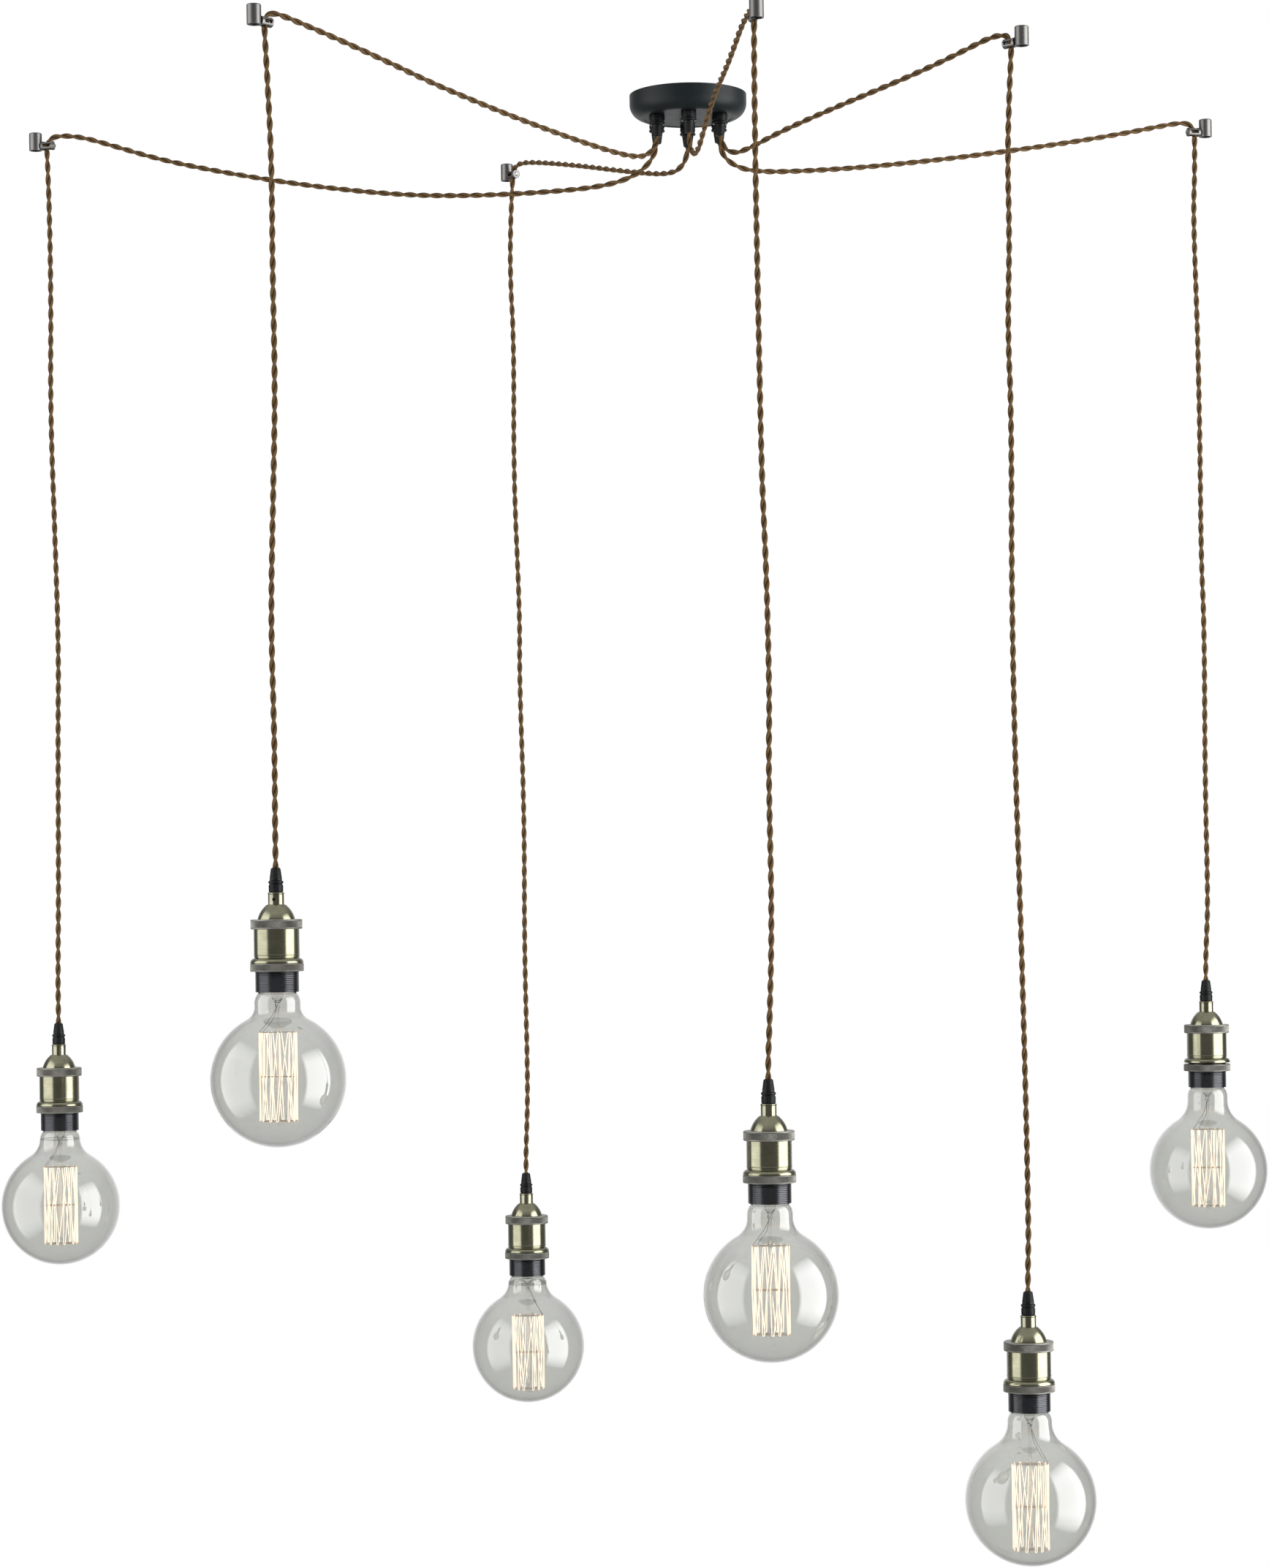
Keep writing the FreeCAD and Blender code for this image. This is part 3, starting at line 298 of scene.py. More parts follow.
class LampSettings(bpy.types.PropertyGroup):
    """The globe lamps."""
    tint: bpy.props.FloatVectorProperty(
        name="Glass tint", description="Colour that each wall of glass lets through", subtype="COLOR",
        size=4, default=(0.712, 0.718, 0.693, 1))
    core: bpy.props.FloatVectorProperty(
        name="Glow core", description="Colour of the filament's middle", subtype="COLOR", size=4,
        default=(1.0, 0.985, 0.93, 1))
    edge: bpy.props.FloatVectorProperty(
        name="Glow edge", description="Colour of the filament's edges", subtype="COLOR", size=4,
        default=(0.36, 0.20, 0.09, 1))
    glow: bpy.props.FloatProperty(
        name="Glow", description="Strength of the filament's light", default=1.5, min=0)
    filament: bpy.props.FloatProperty(
        name="Filament", description="Diameter of the glowing wire", default=0.00115, unit="LENGTH",
        precision=5)


class StageSettings(bpy.types.PropertyGroup):
    """Floor, light and camera."""
    left_power: bpy.props.FloatProperty(
        name="Left panel", description="Power of the soft light panel on the left", default=112,
        unit="POWER")
    right_power: bpy.props.FloatProperty(
        name="Right panel", description="Power of the soft light panel on the right", default=237,
        unit="POWER")
    front_power: bpy.props.FloatProperty(
        name="Front panel", description="Power of the panel high in front", default=31, unit="POWER")
    fill: bpy.props.FloatProperty(
        name="Fill", description="Strength of the all-round light", default=0.5, min=0)
    front: bpy.props.FloatProperty(
        name="Front", description="Brightness that metal reflects from the front", default=0.2, min=0)
    ceiling: bpy.props.FloatProperty(
        name="Ceiling", description="Brightness that metal reflects from above", default=0.55, min=0)
    floor_drop: bpy.props.FloatProperty(
        name="Floor drop", description="Gap from the lowest lamp to the floor", default=0.25,
        unit="LENGTH")


class Value:
    """A shader socket that can be used in sums: each operator adds its own node."""

    def __init__(self, finish, socket):
        self.finish = finish
        self.socket = socket

    def sum(self, operation, *terms):
        return self.finish.node("ShaderNodeMath", {"operation": operation}, dict(enumerate(terms)))

    def __add__(self, other):
        return self.sum("ADD", self, other)

    def __radd__(self, other):
        return self.sum("ADD", other, self)

    def __sub__(self, other):
        return self.sum("SUBTRACT", self, other)

    def __rsub__(self, other):
        return self.sum("SUBTRACT", other, self)

    def __mul__(self, other):
        return self.sum("MULTIPLY", self, other)

    def __rmul__(self, other):
        return self.sum("MULTIPLY", other, self)

    def sine(self):
        return self.sum("SINE", self)

    def beside(self, output):
        """Another output of the same node."""
        return Value(self.finish, self.socket.node.outputs[output])


class Finish:
    """A node tree with its shader. Colours and numbers go straight to the shader's sockets."""

    def __init__(self, tree, shader):
        self.tree = tree
        self.shader = shader

    def put(self, socket, value):
        """Gives a socket a value, or a link from another socket."""
        if isinstance(value, Value):
            self.tree.links.new(value.socket, socket)
        else:
            socket.default_value = value

    def node(self, kind, settings, sockets, output=0):
        """Adds a node: first its settings, then the values or links of its sockets."""
        node = self.tree.nodes.new(kind)
        for name, value in settings.items():
            setattr(node, name, value)
        for key, value in sockets.items():
            self.put(node.inputs[key], value)
        return Value(self, node.outputs[output])

    def set(self, **values):
        """Sets the shader's sockets, with _ for a space in a socket's name."""
        for name, value in values.items():
            self.put(self.shader.inputs[name.replace("_", " ")], value)

    def place(self):
        return self.node("ShaderNodeTexCoord", {}, {}, "Object")

    def stretched(self, vector, scale):
        """Coordinates stretched along the axes, so that a pattern follows one way."""
        return self.node("ShaderNodeVectorMath", {"operation": "MULTIPLY"}, {0: vector, 1: scale})

    def noise(self, vector, scale, detail=3):
        return self.node("ShaderNodeTexNoise", {}, {"Vector": vector, "Scale": scale, "Detail": detail})

    def blend(self, factor, first, second):
        """A colour between two colours."""
        return self.node("ShaderNodeMix", {"data_type": "RGBA"}, {0: factor, 6: first, 7: second}, 2)

    def ramp(self, value, low, high):
        """A value spread from 0 to 1 between two levels."""
        return self.node("ShaderNodeMapRange", {}, {0: value, 1: low, 2: high})

    def relief(self, height, strength, distance):
        """A bumpy surface."""
        sockets = {"Strength": strength, "Distance": distance, "Height": height}
        self.set(Normal=self.node("ShaderNodeBump", {}, sockets))


def new_finish(name):
    """A material with one shader."""
    material = bpy.data.materials.new(name)
    material.use_nodes = True
    tree = material.node_tree
    return material, Finish(tree, tree.nodes["Principled BSDF"])


def shade(colour, factor):
    """A colour made darker or lighter."""
    return (colour[0] * factor, colour[1] * factor, colour[2] * factor, 1)


# Finishes

def satin_paint(colour):
    """Satin black paint with a fine grain and a faint mottle."""
    material, finish = new_finish("satin_paint")
    place = finish.place()
    mottle = finish.noise(place, 60)
    grain = finish.noise(place, 2600, 2)
    finish.set(Base_Color=finish.blend(mottle, shade(colour, 0.8), shade(colour, 1.25)))
    finish.set(Roughness=0.36 + mottle * 0.12)
    finish.set(Specular_IOR_Level=0.22)
    finish.relief(grain, 0.12, 0.0002)
    return material


def moulded_plastic(name, colour):
    """Moulded plastic with a fine grain that varies its tone and its gloss."""
    material, finish = new_finish(name)
    grain = finish.noise(finish.place(), 1800, 2)
    finish.set(Base_Color=finish.blend(grain, colour, shade(colour, 2.2)))
    finish.set(Roughness=0.24 + grain * 0.18, Specular_IOR_Level=0.2)
    finish.relief(grain, 0.1, 0.0002)
    return material


def turned_metal(name, colour, roughness, wear, rim=1.0):
    """Metal with fine lines round it from turning, an uneven aged tone, and painted shade that darkens its
    rim where it turns away from the view.
    """
    material, finish = new_finish(name)
    place = finish.place()
    lines = finish.noise(finish.stretched(place, (30, 30, 9000)), 1, 4)
    age = finish.noise(place, 90, 5)
    tone = finish.ramp(age, 0.3, 0.75) * 0.6 + finish.ramp(lines, 0.35, 0.65) * 0.4
    aged = finish.blend(tone, shade(colour, 1 - wear), shade(colour, 1 + wear / 2))
    # Painted shade: towards the edges that turn away from the view, the colour darkens to rim times its
    # own colour.
    facing = finish.node("ShaderNodeLayerWeight", {}, {"Blend": 0.5}, "Facing")
    edge = finish.ramp(facing, 0.55, 0.9)
    finish.set(Base_Color=finish.blend(edge, aged, shade(colour, rim)))
    finish.set(Metallic=1.0, Roughness=roughness + lines * 0.12 - tone * 0.05)
    finish.relief(lines, 0.12, 0.0001)
    return material


def knurled_metal(name, colour):
    """Matt cast metal with a knurl, with a painted highlight on its points and painted shade in its
    grooves.
    """
    material, finish = new_finish(name)
    place = finish.place()
    crown_shade = finish.node("ShaderNodeAttribute", {"attribute_name": "crown_shade"}, {}, "Fac")
    age = finish.noise(place, 140, 4)
    grain = finish.noise(place, 2200, 2)
    # Painted highlight and shade: the colour runs from a tenth of the metal's colour in the grooves to 1.7
    # times it on the points.
    tone = finish.ramp(crown_shade * 0.85 + age * 0.3, 0.2, 1.0)
    finish.set(Base_Color=finish.blend(tone, shade(colour, 0.1), shade(colour, 1.7)))
    finish.set(Metallic=1.0, Roughness=0.42 + grain * 0.16)
    finish.relief(grain, 0.15, 0.0001)
    return material


def woven_braid(dark, light):
    """Woven braid on the flex: slanting yarns along each strand, with painted shade that darkens each
    strand towards where the strands meet.
    """
    material, finish = new_finish("woven_braid")
    chart = finish.node("ShaderNodeUVMap", {"uv_map": "UVMap"}, {})
    along = finish.node("ShaderNodeSeparateXYZ", {}, {0: chart}, "X")
    around = along.beside("Y")
    crown_shade = finish.node("ShaderNodeAttribute", {"attribute_name": "crown_shade"}, {}, "Fac")
    yarn_turns = 3600
    yarns_round = 5 * FULL_TURN
    right = (along * yarn_turns + around * yarns_round).sine()
    left = (along * yarn_turns - around * yarns_round).sine()
    weave = right * left * 0.5 + 0.5
    streak = finish.ramp(finish.noise(finish.stretched(chart, (190, 14, 1)), 1, 3), 0.32, 0.68)
    # Painted shade: the tone is dark where the strands meet and light on their outer sides, mixed with the
    # weave and the streaks of the yarn.
    tone = finish.ramp(crown_shade * 0.8 + weave * 0.25 + streak * 0.55, 0.35, 1.5)
    finish.set(Base_Color=finish.blend(tone, dark, light))
    finish.set(Roughness=0.85 - weave * 0.2)
    finish.set(Sheen_Weight=0.05, Sheen_Roughness=0.4, Specular_IOR_Level=0.18)
    finish.relief(weave, 0.6, 0.0004)
    return material


def clear_glass(name, tint, rim):
    """Clear blown glass with painted shade that darkens its rim where it turns away from the view, and the
    faint unevenness of the blowing.
    """
    material, finish = new_finish(name)
    wave = finish.noise(finish.place(), 14, 1)
    facing = finish.node("ShaderNodeLayerWeight", {}, {"Blend": 0.5}, "Facing")
    edge = finish.ramp(facing, 0.62, 0.95)
    # Painted shade: towards the rim the tint darkens to rim times itself.
    finish.set(Base_Color=finish.blend(edge, tint, shade(tint, rim)))
    finish.set(Roughness=0.0, Transmission_Weight=1.0, IOR=1.55, Coat_Weight=1.0, Coat_Roughness=0.0)
    finish.relief(wave, 0.04, 0.002)
    return material


def glowing_wire(core, edge, strength):
    """Hot filament: white in the middle and tan at its edges."""
    material, finish = new_finish("glowing_wire")
    facing = finish.node("ShaderNodeLayerWeight", {}, {"Blend": 0.35}, "Facing")
    glow = finish.blend(finish.ramp(facing, 0.1, 0.42), core, edge)
    finish.set(Base_Color=(0.9, 0.6, 0.3, 1), Emission_Color=glow, Emission_Strength=strength)
    return material


def plain_ceramic():
    """Glazed white ceramic with a faint mottle."""
    material, finish = new_finish("plain_ceramic")
    mottle = finish.noise(finish.place(), 120)
    finish.set(Base_Color=finish.blend(mottle, (0.72, 0.70, 0.64, 1), (0.86, 0.85, 0.80, 1)))
    finish.set(Roughness=0.25 + mottle * 0.2)
    return material


# Shapes

def arc(centre, radius, start, end, steps):
    """Points on an arc of an outline, with angles in degrees from level."""
    angles = [math.radians(start + (end - start) * step / steps) for step in range(steps + 1)]
    return [(centre[0] + radius * math.cos(a), centre[1] + radius * math.sin(a)) for a in angles]


def bowed(start, end, bulge, steps):
    """Points from one place to another on a line that bows out to its right."""
    reach = Vector(end) - Vector(start)
    out = Vector((reach.y, -reach.x)).normalized() * bulge
    shares = [step / steps for step in range(steps + 1)]
    return [tuple(Vector(start) + reach * t + out * 4 * t * (1 - t)) for t in shares]


def turned(outline, steps=96, closed=True):
    """A shape turned about the Z axis from (radius, height) points in millimetres."""
    shape = bmesh.new()
    verts = [shape.verts.new((radius * MM, 0, height * MM)) for radius, height in outline]
    ends = verts[1:] + verts[:1] if closed else verts[1:]
    edges = [shape.edges.new(pair) for pair in zip(verts, ends)]
    bmesh.ops.spin(shape, geom=verts + edges, cent=(0, 0, 0), axis=(0, 0, 1), angle=FULL_TURN,
                   steps=steps, use_merge=True)
    bmesh.ops.remove_doubles(shape, verts=shape.verts, dist=1e-7)
    bmesh.ops.recalc_face_normals(shape, faces=shape.faces)
    return shape


def rod(sides, radius, depth, place=Matrix()):
    """A closed rod along the Z axis, from sizes in millimetres; six sides make a hexagon."""
    shape = bmesh.new()
    bmesh.ops.create_cone(shape, cap_ends=True, segments=sides, radius1=radius * MM,
                          radius2=radius * MM, depth=depth * MM, matrix=place)
    return shape


def joined(*shapes):
    """Several shapes as one."""
    whole = bmesh.new()
    for shape in shapes:
        mesh = as_mesh(shape)
        whole.from_mesh(mesh)
        bpy.data.meshes.remove(mesh)
    return whole


def copies(shape, places):
    """One shape, repeated at each of the given matrices."""
    mesh = as_mesh(shape)
    whole = bmesh.new()
    for place in places:
        placed = at_place(mesh, place)
        whole.from_mesh(placed)
        bpy.data.meshes.remove(placed)
    bpy.data.meshes.remove(mesh)
    return whole


def show(mesh, name, material, body, stands_for=(), edge=0.0):
    """Puts a finished mesh in the scene as a piece that rides on a body."""
    mesh.name = name
    mesh.shade_smooth()
    mesh.set_sharp_from_angle(angle=math.radians(38))
    mesh.materials.clear()
    mesh.materials.append(material)
    piece = bpy.data.objects.new(name, mesh)
    bpy.context.scene.collection.objects.link(piece)
    if edge:
        bevel = piece.modifiers.new("edge", "BEVEL")
        bevel.width = edge
        bevel.segments = 2
        bevel.limit_method = "ANGLE"
        bevel.angle_limit = math.radians(35)
    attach(piece, body)
    if stands_for:
        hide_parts(*stands_for)
    return piece


def as_mesh(shape):
    """A bmesh shape as a mesh."""
    mesh = bpy.data.meshes.new("piece")
    shape.to_mesh(mesh)
    shape.free()
    return mesh


def drilled(mesh, drill):
    """A mesh with a hole where the drill's mesh goes."""
    work = bpy.data.objects.new("work", mesh)
    tool = bpy.data.objects.new("tool", drill)
    cut = work.modifiers.new("hole", "BOOLEAN")
    cut.object = tool
    for carrier in (work, tool):
        bpy.context.scene.collection.objects.link(carrier)
    graph = bpy.context.evaluated_depsgraph_get()
    result = bpy.data.meshes.new_from_object(work.evaluated_get(graph))
    for carrier in (work, tool):
        bpy.data.objects.remove(carrier)
    return result


def at_place(mesh, place):
    """A copy of a mesh, moved to its place."""
    copy = mesh.copy()
    copy.transform(place)
    return copy


def holder_place(number):
    """Where a pendant's holder sits: the lower edge of its skirt, on its axis."""
    low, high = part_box("socket_%d" % number)
    return Matrix.Translation(((low[0] + high[0]) / 2, (low[1] + high[1]) / 2, low[2]))


def drop_axis(number):
    """Plan position of a hanging flex."""
    low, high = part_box("drop_cord_%d" % number)
    return Vector(((low[0] + high[0]) / 2, (low[1] + high[1]) / 2, 0))


def outlet(number):
    """Plan position of a canopy outlet."""
    angle = math.radians(OUTLET_ANGLES[number - 1])
    return Vector((OUTLET_CIRCLE * math.cos(angle), OUTLET_CIRCLE * math.sin(angle), 0)) * MM


def grip_outlines(wide):
    """Outlines of a cord grip's base and nut, upwards from its seat; wide is its base's girth."""
    lip_top = GRIP_BASE_HEIGHT + GRIP_LIP_HEIGHT
    lip = arc((5.4, GRIP_BASE_HEIGHT + GRIP_LIP_HEIGHT / 2), GRIP_LIP_HEIGHT / 2, -70, 70, 6)
    base = [(6.1, 0), (6.4, 0.5), (6.5, 6.6), (6.1, 7.0), (6.1, GRIP_BASE_HEIGHT)]
    base += lip + [(4.2, lip_top)]
    nut = [(5.75, lip_top), (5.75, lip_top + 0.8), (5.5, lip_top + 1.6), (4.25, GRIP_HEIGHT - 0.9),
           (3.95, GRIP_HEIGHT - 0.3), (3.4, GRIP_HEIGHT)]
    base = [(SPIGOT_RADIUS, 0)] + [(radius * wide, height) for radius, height in base]
    nut = [(FLEX_BORE, lip_top)] + nut
    return base + [(FLEX_BORE, lip_top), (FLEX_BORE, 0)], nut + [(FLEX_BORE, GRIP_HEIGHT)]


def ribbed(shape, low, high, least, ribs):
    """Raises every second face of a band round a turned shape, as moulded ribs."""
    shape.faces.ensure_lookup_table()
    band = []
    for face in shape.faces:
        middle = face.calc_center_median()
        if low * MM < middle.z < high * MM and middle.xy.length > least * MM:
            turn = math.atan2(middle.y, middle.x) / FULL_TURN * ribs
            if math.floor(turn * 2) % 2 == 0:
                band.append(face)
    raised = bmesh.ops.extrude_discrete_faces(shape, faces=band)["faces"]
    for face in raised:
        bmesh.ops.translate(shape, verts=face.verts, vec=face.normal * RIB_HEIGHT * MM)
    return shape


def cord_grip(ribs, wide=1.0):
    """A cord grip: ribbed base with a round lip, and a tapered clamp nut."""
    base, nut = grip_outlines(wide)
    steps = 2 * ribs
    return joined(ribbed(turned(base, steps), 0.6, 6.5, 6, ribs),
                  ribbed(turned(nut, steps), 12.6, 21.5, 3.4, ribs))


def new_spline(curve, kind, points):
    """Adds a spline through or near the given points to a curve."""
    curve.dimensions = "3D"
    spline = curve.splines.new(kind)
    spline.points.add(len(points) - 1)
    for control, point in zip(spline.points, points):
        control.co = (*point, 1)
    return spline


def curve_mesh(curve):
    """The mesh of a finished curve, which is then removed."""
    carrier = bpy.data.objects.new("carrier", curve)
    mesh = bpy.data.meshes.new_from_object(carrier)
    bpy.data.objects.remove(carrier)
    bpy.data.curves.remove(curve)
    return mesh


def read_route(points, resolution):
    """Close points along the smooth line that a route's points steer."""
    curve = bpy.data.curves.new("route", "CURVE")
    curve.resolution_u = resolution
    spline = new_spline(curve, "NURBS", points)
    spline.order_u = 3
    spline.use_endpoint_u = True
    mesh = curve_mesh(curve)
    line = [vert.co.copy() for vert in mesh.vertices]
    bpy.data.meshes.remove(mesh)
    return line


def line_length(line):
    return sum((b - a).length for a, b in zip(line, line[1:]))


def twisted(line, offset, lay, phase):
    """The line of one strand, wound right-handed round a cord's own line."""
    ahead = (line[1] - line[0]).normalized()
    side = ahead.orthogonal().normalized()
    strand = []
    gone = 0
    for index, point in enumerate(line):
        after = line[min(index + 1, len(line) - 1)]
        before = line[max(index - 1, 0)]
        ahead = (after - before).normalized()
        side = (side - ahead * side.dot(ahead)).normalized()
        gone += (point - before).length
        turn = FULL_TURN * gone / lay + phase
        strand.append(point + (side * math.cos(turn) + ahead.cross(side) * math.sin(turn)) * offset)
    return strand


def tubes(lines, diameter, sides):
    """Round tubes along lines, with a chart that runs along and round each of them."""
    curve = bpy.data.curves.new("tubes", "CURVE")
    curve.bevel_depth = diameter / 2
    curve.bevel_resolution = sides
    curve.use_fill_caps = True
    for line in lines:
        new_spline(curve, "POLY", line)
    return curve_mesh(curve)


def flex(name, route, resolution, settings, material, body, node):
    """One flex: two strands twisted round each other along the route."""
    line = read_route(route, resolution)
    offset = settings.strand * STRAND_SPREAD
    strands = [twisted(line, offset, settings.lay, phase) for phase in (0, math.pi)]
    mesh = tubes(strands, settings.strand, 2)
    length = line_length(line)
    for chart in mesh.uv_layers["UVMap"].uv:
        chart.vector.x *= length
    middle = kdtree.KDTree(len(line))
    for index, point in enumerate(line):
        middle.insert(point, index)
    middle.balance()
    # For the braid's painted shade: each point's distance from the flex's middle line as a share of a
    # strand's diameter, least where the strands meet.
    crown_shade = mesh.attributes.new("crown_shade", "FLOAT", "POINT")
    for vert, mark in zip(mesh.vertices, crown_shade.data):
        mark.value = middle.find(vert.co)[2] / settings.strand
    piece = show(mesh, name, material, body, [node])


class PENDANT_OT_flexes(bpy.types.Operator):
    """Lay the six swags and hang the six drops as twisted, braided flexes"""
    bl_idname = "pendant.flexes"
    bl_label = "Flexes"

    def execute(self, context):
        settings = context.scene.pendant_flex
        braid = woven_braid(settings.dark, settings.light)
        for number in PENDANTS:
            start = outlet(number)
            end = drop_axis(number)
            along = (end - start).normalized()
            span = (end - start).length / MM
            drop_low, drop_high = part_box("drop_cord_%d" % number)
            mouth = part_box("canopy_cord_grips")[0][2] / MM
            plane = [(0, mouth + GRIP_FLEX_DEPTH), (0, mouth - MOUTH_RUN)] + SWAGS[number - 1]
            plane += [(span + reach, height) for reach, height in HOOK_BEND]
            plane.append((span, drop_high[2] / MM))
            route = [start + along * reach * MM + Vector((0, 0, height * MM)) for reach, height in plane]
            flex("swag_flex_%d" % number, route, SWAG_STEPS, settings, braid, "canopy",
                 "swag_cord_%d" % number)
            waves = [(drop_high[2] / MM, 0)] + DROP_WAVES[number - 1] + [(drop_low[2] / MM + GRIP_RUN, 0)]
            route = [end + Vector((wave, 0, height)) * MM for height, wave in waves]
            route.append(end + Vector((0, 0, drop_low[2])))
            flex("drop_flex_%d" % number, route, DROP_STEPS, settings, braid, "pendant_%d" % number,
                 "drop_cord_%d" % number)
        return {"FINISHED"}


class PENDANT_OT_canopy(bpy.types.Operator):
    """Make the painted canopy with its cord grips and the holes for its side screws, and finish the parts
    inside
    """
    bl_idname = "pendant.canopy"
    bl_label = "Canopy"

    def execute(self, context):
        settings = context.scene.pendant_canopy
        paint = satin_paint(settings.paint)
        plastic = moulded_plastic("canopy_grip_plastic", settings.plastic)
        low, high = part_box("canopy_shell")
        wall = (high[0] - low[0]) / 2 / MM
        foot = low[2] / MM
        seat = foot + FACE_STEP
        dish = turned(self.dish(wall, foot, seat), 128, closed=False)
        dish = drilled(as_mesh(dish), as_mesh(self.side_drills(wall)))
        show(dish, "canopy_dish", paint, "canopy", ["canopy_shell"])
        flip = Matrix.Rotation(math.pi, 4, "X")
        places = [Matrix.Translation(outlet(n) + Vector((0, 0, seat * MM))) @ flip for n in PENDANTS]
        nut = rod(6, LOCK_NUT_RADIUS, LOCK_NUT_HEIGHT, Matrix.Translation((0, 0, LOCK_NUT_LEVEL * MM)))
        spigot = turned([(SPIGOT_BORE, SPIGOT_FOOT), (SPIGOT_RADIUS, SPIGOT_FOOT), (SPIGOT_RADIUS, 0.2),
                         (SPIGOT_BORE, 0.2)], 32)
        grip = copies(joined(cord_grip(settings.ribs, CANOPY_GRIP_GIRTH), nut, spigot), places)
        show(as_mesh(grip), "canopy_grips", plastic, "canopy", ["canopy_cord_grips"],
             0.12 * MM)
        self.repaint("mounting_bracket", turned_metal("zinc_plate", (0.55, 0.55, 0.53, 1), 0.38, 0.25))
        self.repaint("terminal_block", moulded_plastic("terminal_plastic", settings.terminal))
        # The hooks' last number, 0.5, sets how dark their painted rim shade is.
        self.repaint("ceiling_hooks", turned_metal("gunmetal", settings.steel, 0.34, 0.1, 0.5))
        self.repaint("hook_clamp_screws", turned_metal("screw_steel", (0.5, 0.49, 0.47, 1), 0.3, 0.2))
        return {"FINISHED"}

    @staticmethod
    def dish(wall, foot, seat):
        """The canopy's outline from the middle of its inside round its rim to its face."""
        face = wall - CANOPY_CORNER
        centre = (face, foot + CANOPY_CORNER)
        inside = [(0, seat + CANOPY_SKIN), (face, seat + CANOPY_SKIN)]
        inside += arc(centre, CANOPY_CORNER - CANOPY_SKIN, -90, 0, 14)[1:]
        rim = [(wall - CANOPY_SKIN, 0), (wall - 0.2, 0), (wall, -0.2)]
        outside = arc(centre, CANOPY_CORNER, 0, -90, 14)
        return inside + rim + outside + [(face - 0.35, foot + 0.12), (face - 0.6, seat), (0, seat)]

    @staticmethod
    def side_drills(wall):
        """Drills for the two grub screws in the canopy's wall."""
        places = [Matrix.Translation((side * wall * MM, 0, SIDE_SCREW_HEIGHT * MM))
                  @ Matrix.Rotation(math.pi / 2, 4, "Y") for side in (-1, 1)]
        return copies(rod(24, SIDE_SCREW_BORE, 4 * CANOPY_SKIN), places)

    @staticmethod
    def repaint(node, material):
        """Gives a CAD piece its finish."""
        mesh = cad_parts[node].data
        mesh.materials.clear()
        mesh.materials.append(material)


def knurled(outline, radius, low, high, settings):
    """A ring turned from its outline, with a diamond knurl on its outer face."""
    pitch = settings.knurl_pitch / MM
    depth = settings.knurl_depth / MM
    rows = max(2, round((high - low) / pitch) * 2)
    steps = round(FULL_TURN * radius / pitch) * 2
    levels = [low + (high - low) * row / rows for row in range(rows + 1)]
    shape = turned([(radius, level) for level in levels] + outline, steps)
    valleys = []
    # This attribute marks the knurl's points with 1 and its valleys with 0, for the painted highlight and
    # painted shade of the ring's finish.
    crown_shade = shape.verts.layers.float.new("crown_shade")
    for vert in shape.verts:
        vert[crown_shade] = 0.6
        level = (vert.co.z / MM - low) / (high - low) * rows
        on_face = vert.co.xy.length > (radius - 0.01) * MM
        turn = round(math.atan2(vert.co.y, vert.co.x) / FULL_TURN * steps)
        if on_face and -0.5 < level < rows + 0.5:
            low_point = (turn + round(level)) % 2
            vert[crown_shade] = 1 - low_point
            if low_point:
                valleys.append(vert)
    shrink = 1 - depth / radius
    bmesh.ops.scale(shape, vec=(shrink, shrink, 1), verts=valleys)
    bmesh.ops.connect_verts(shape, verts=valleys)
    return as_mesh(shape)


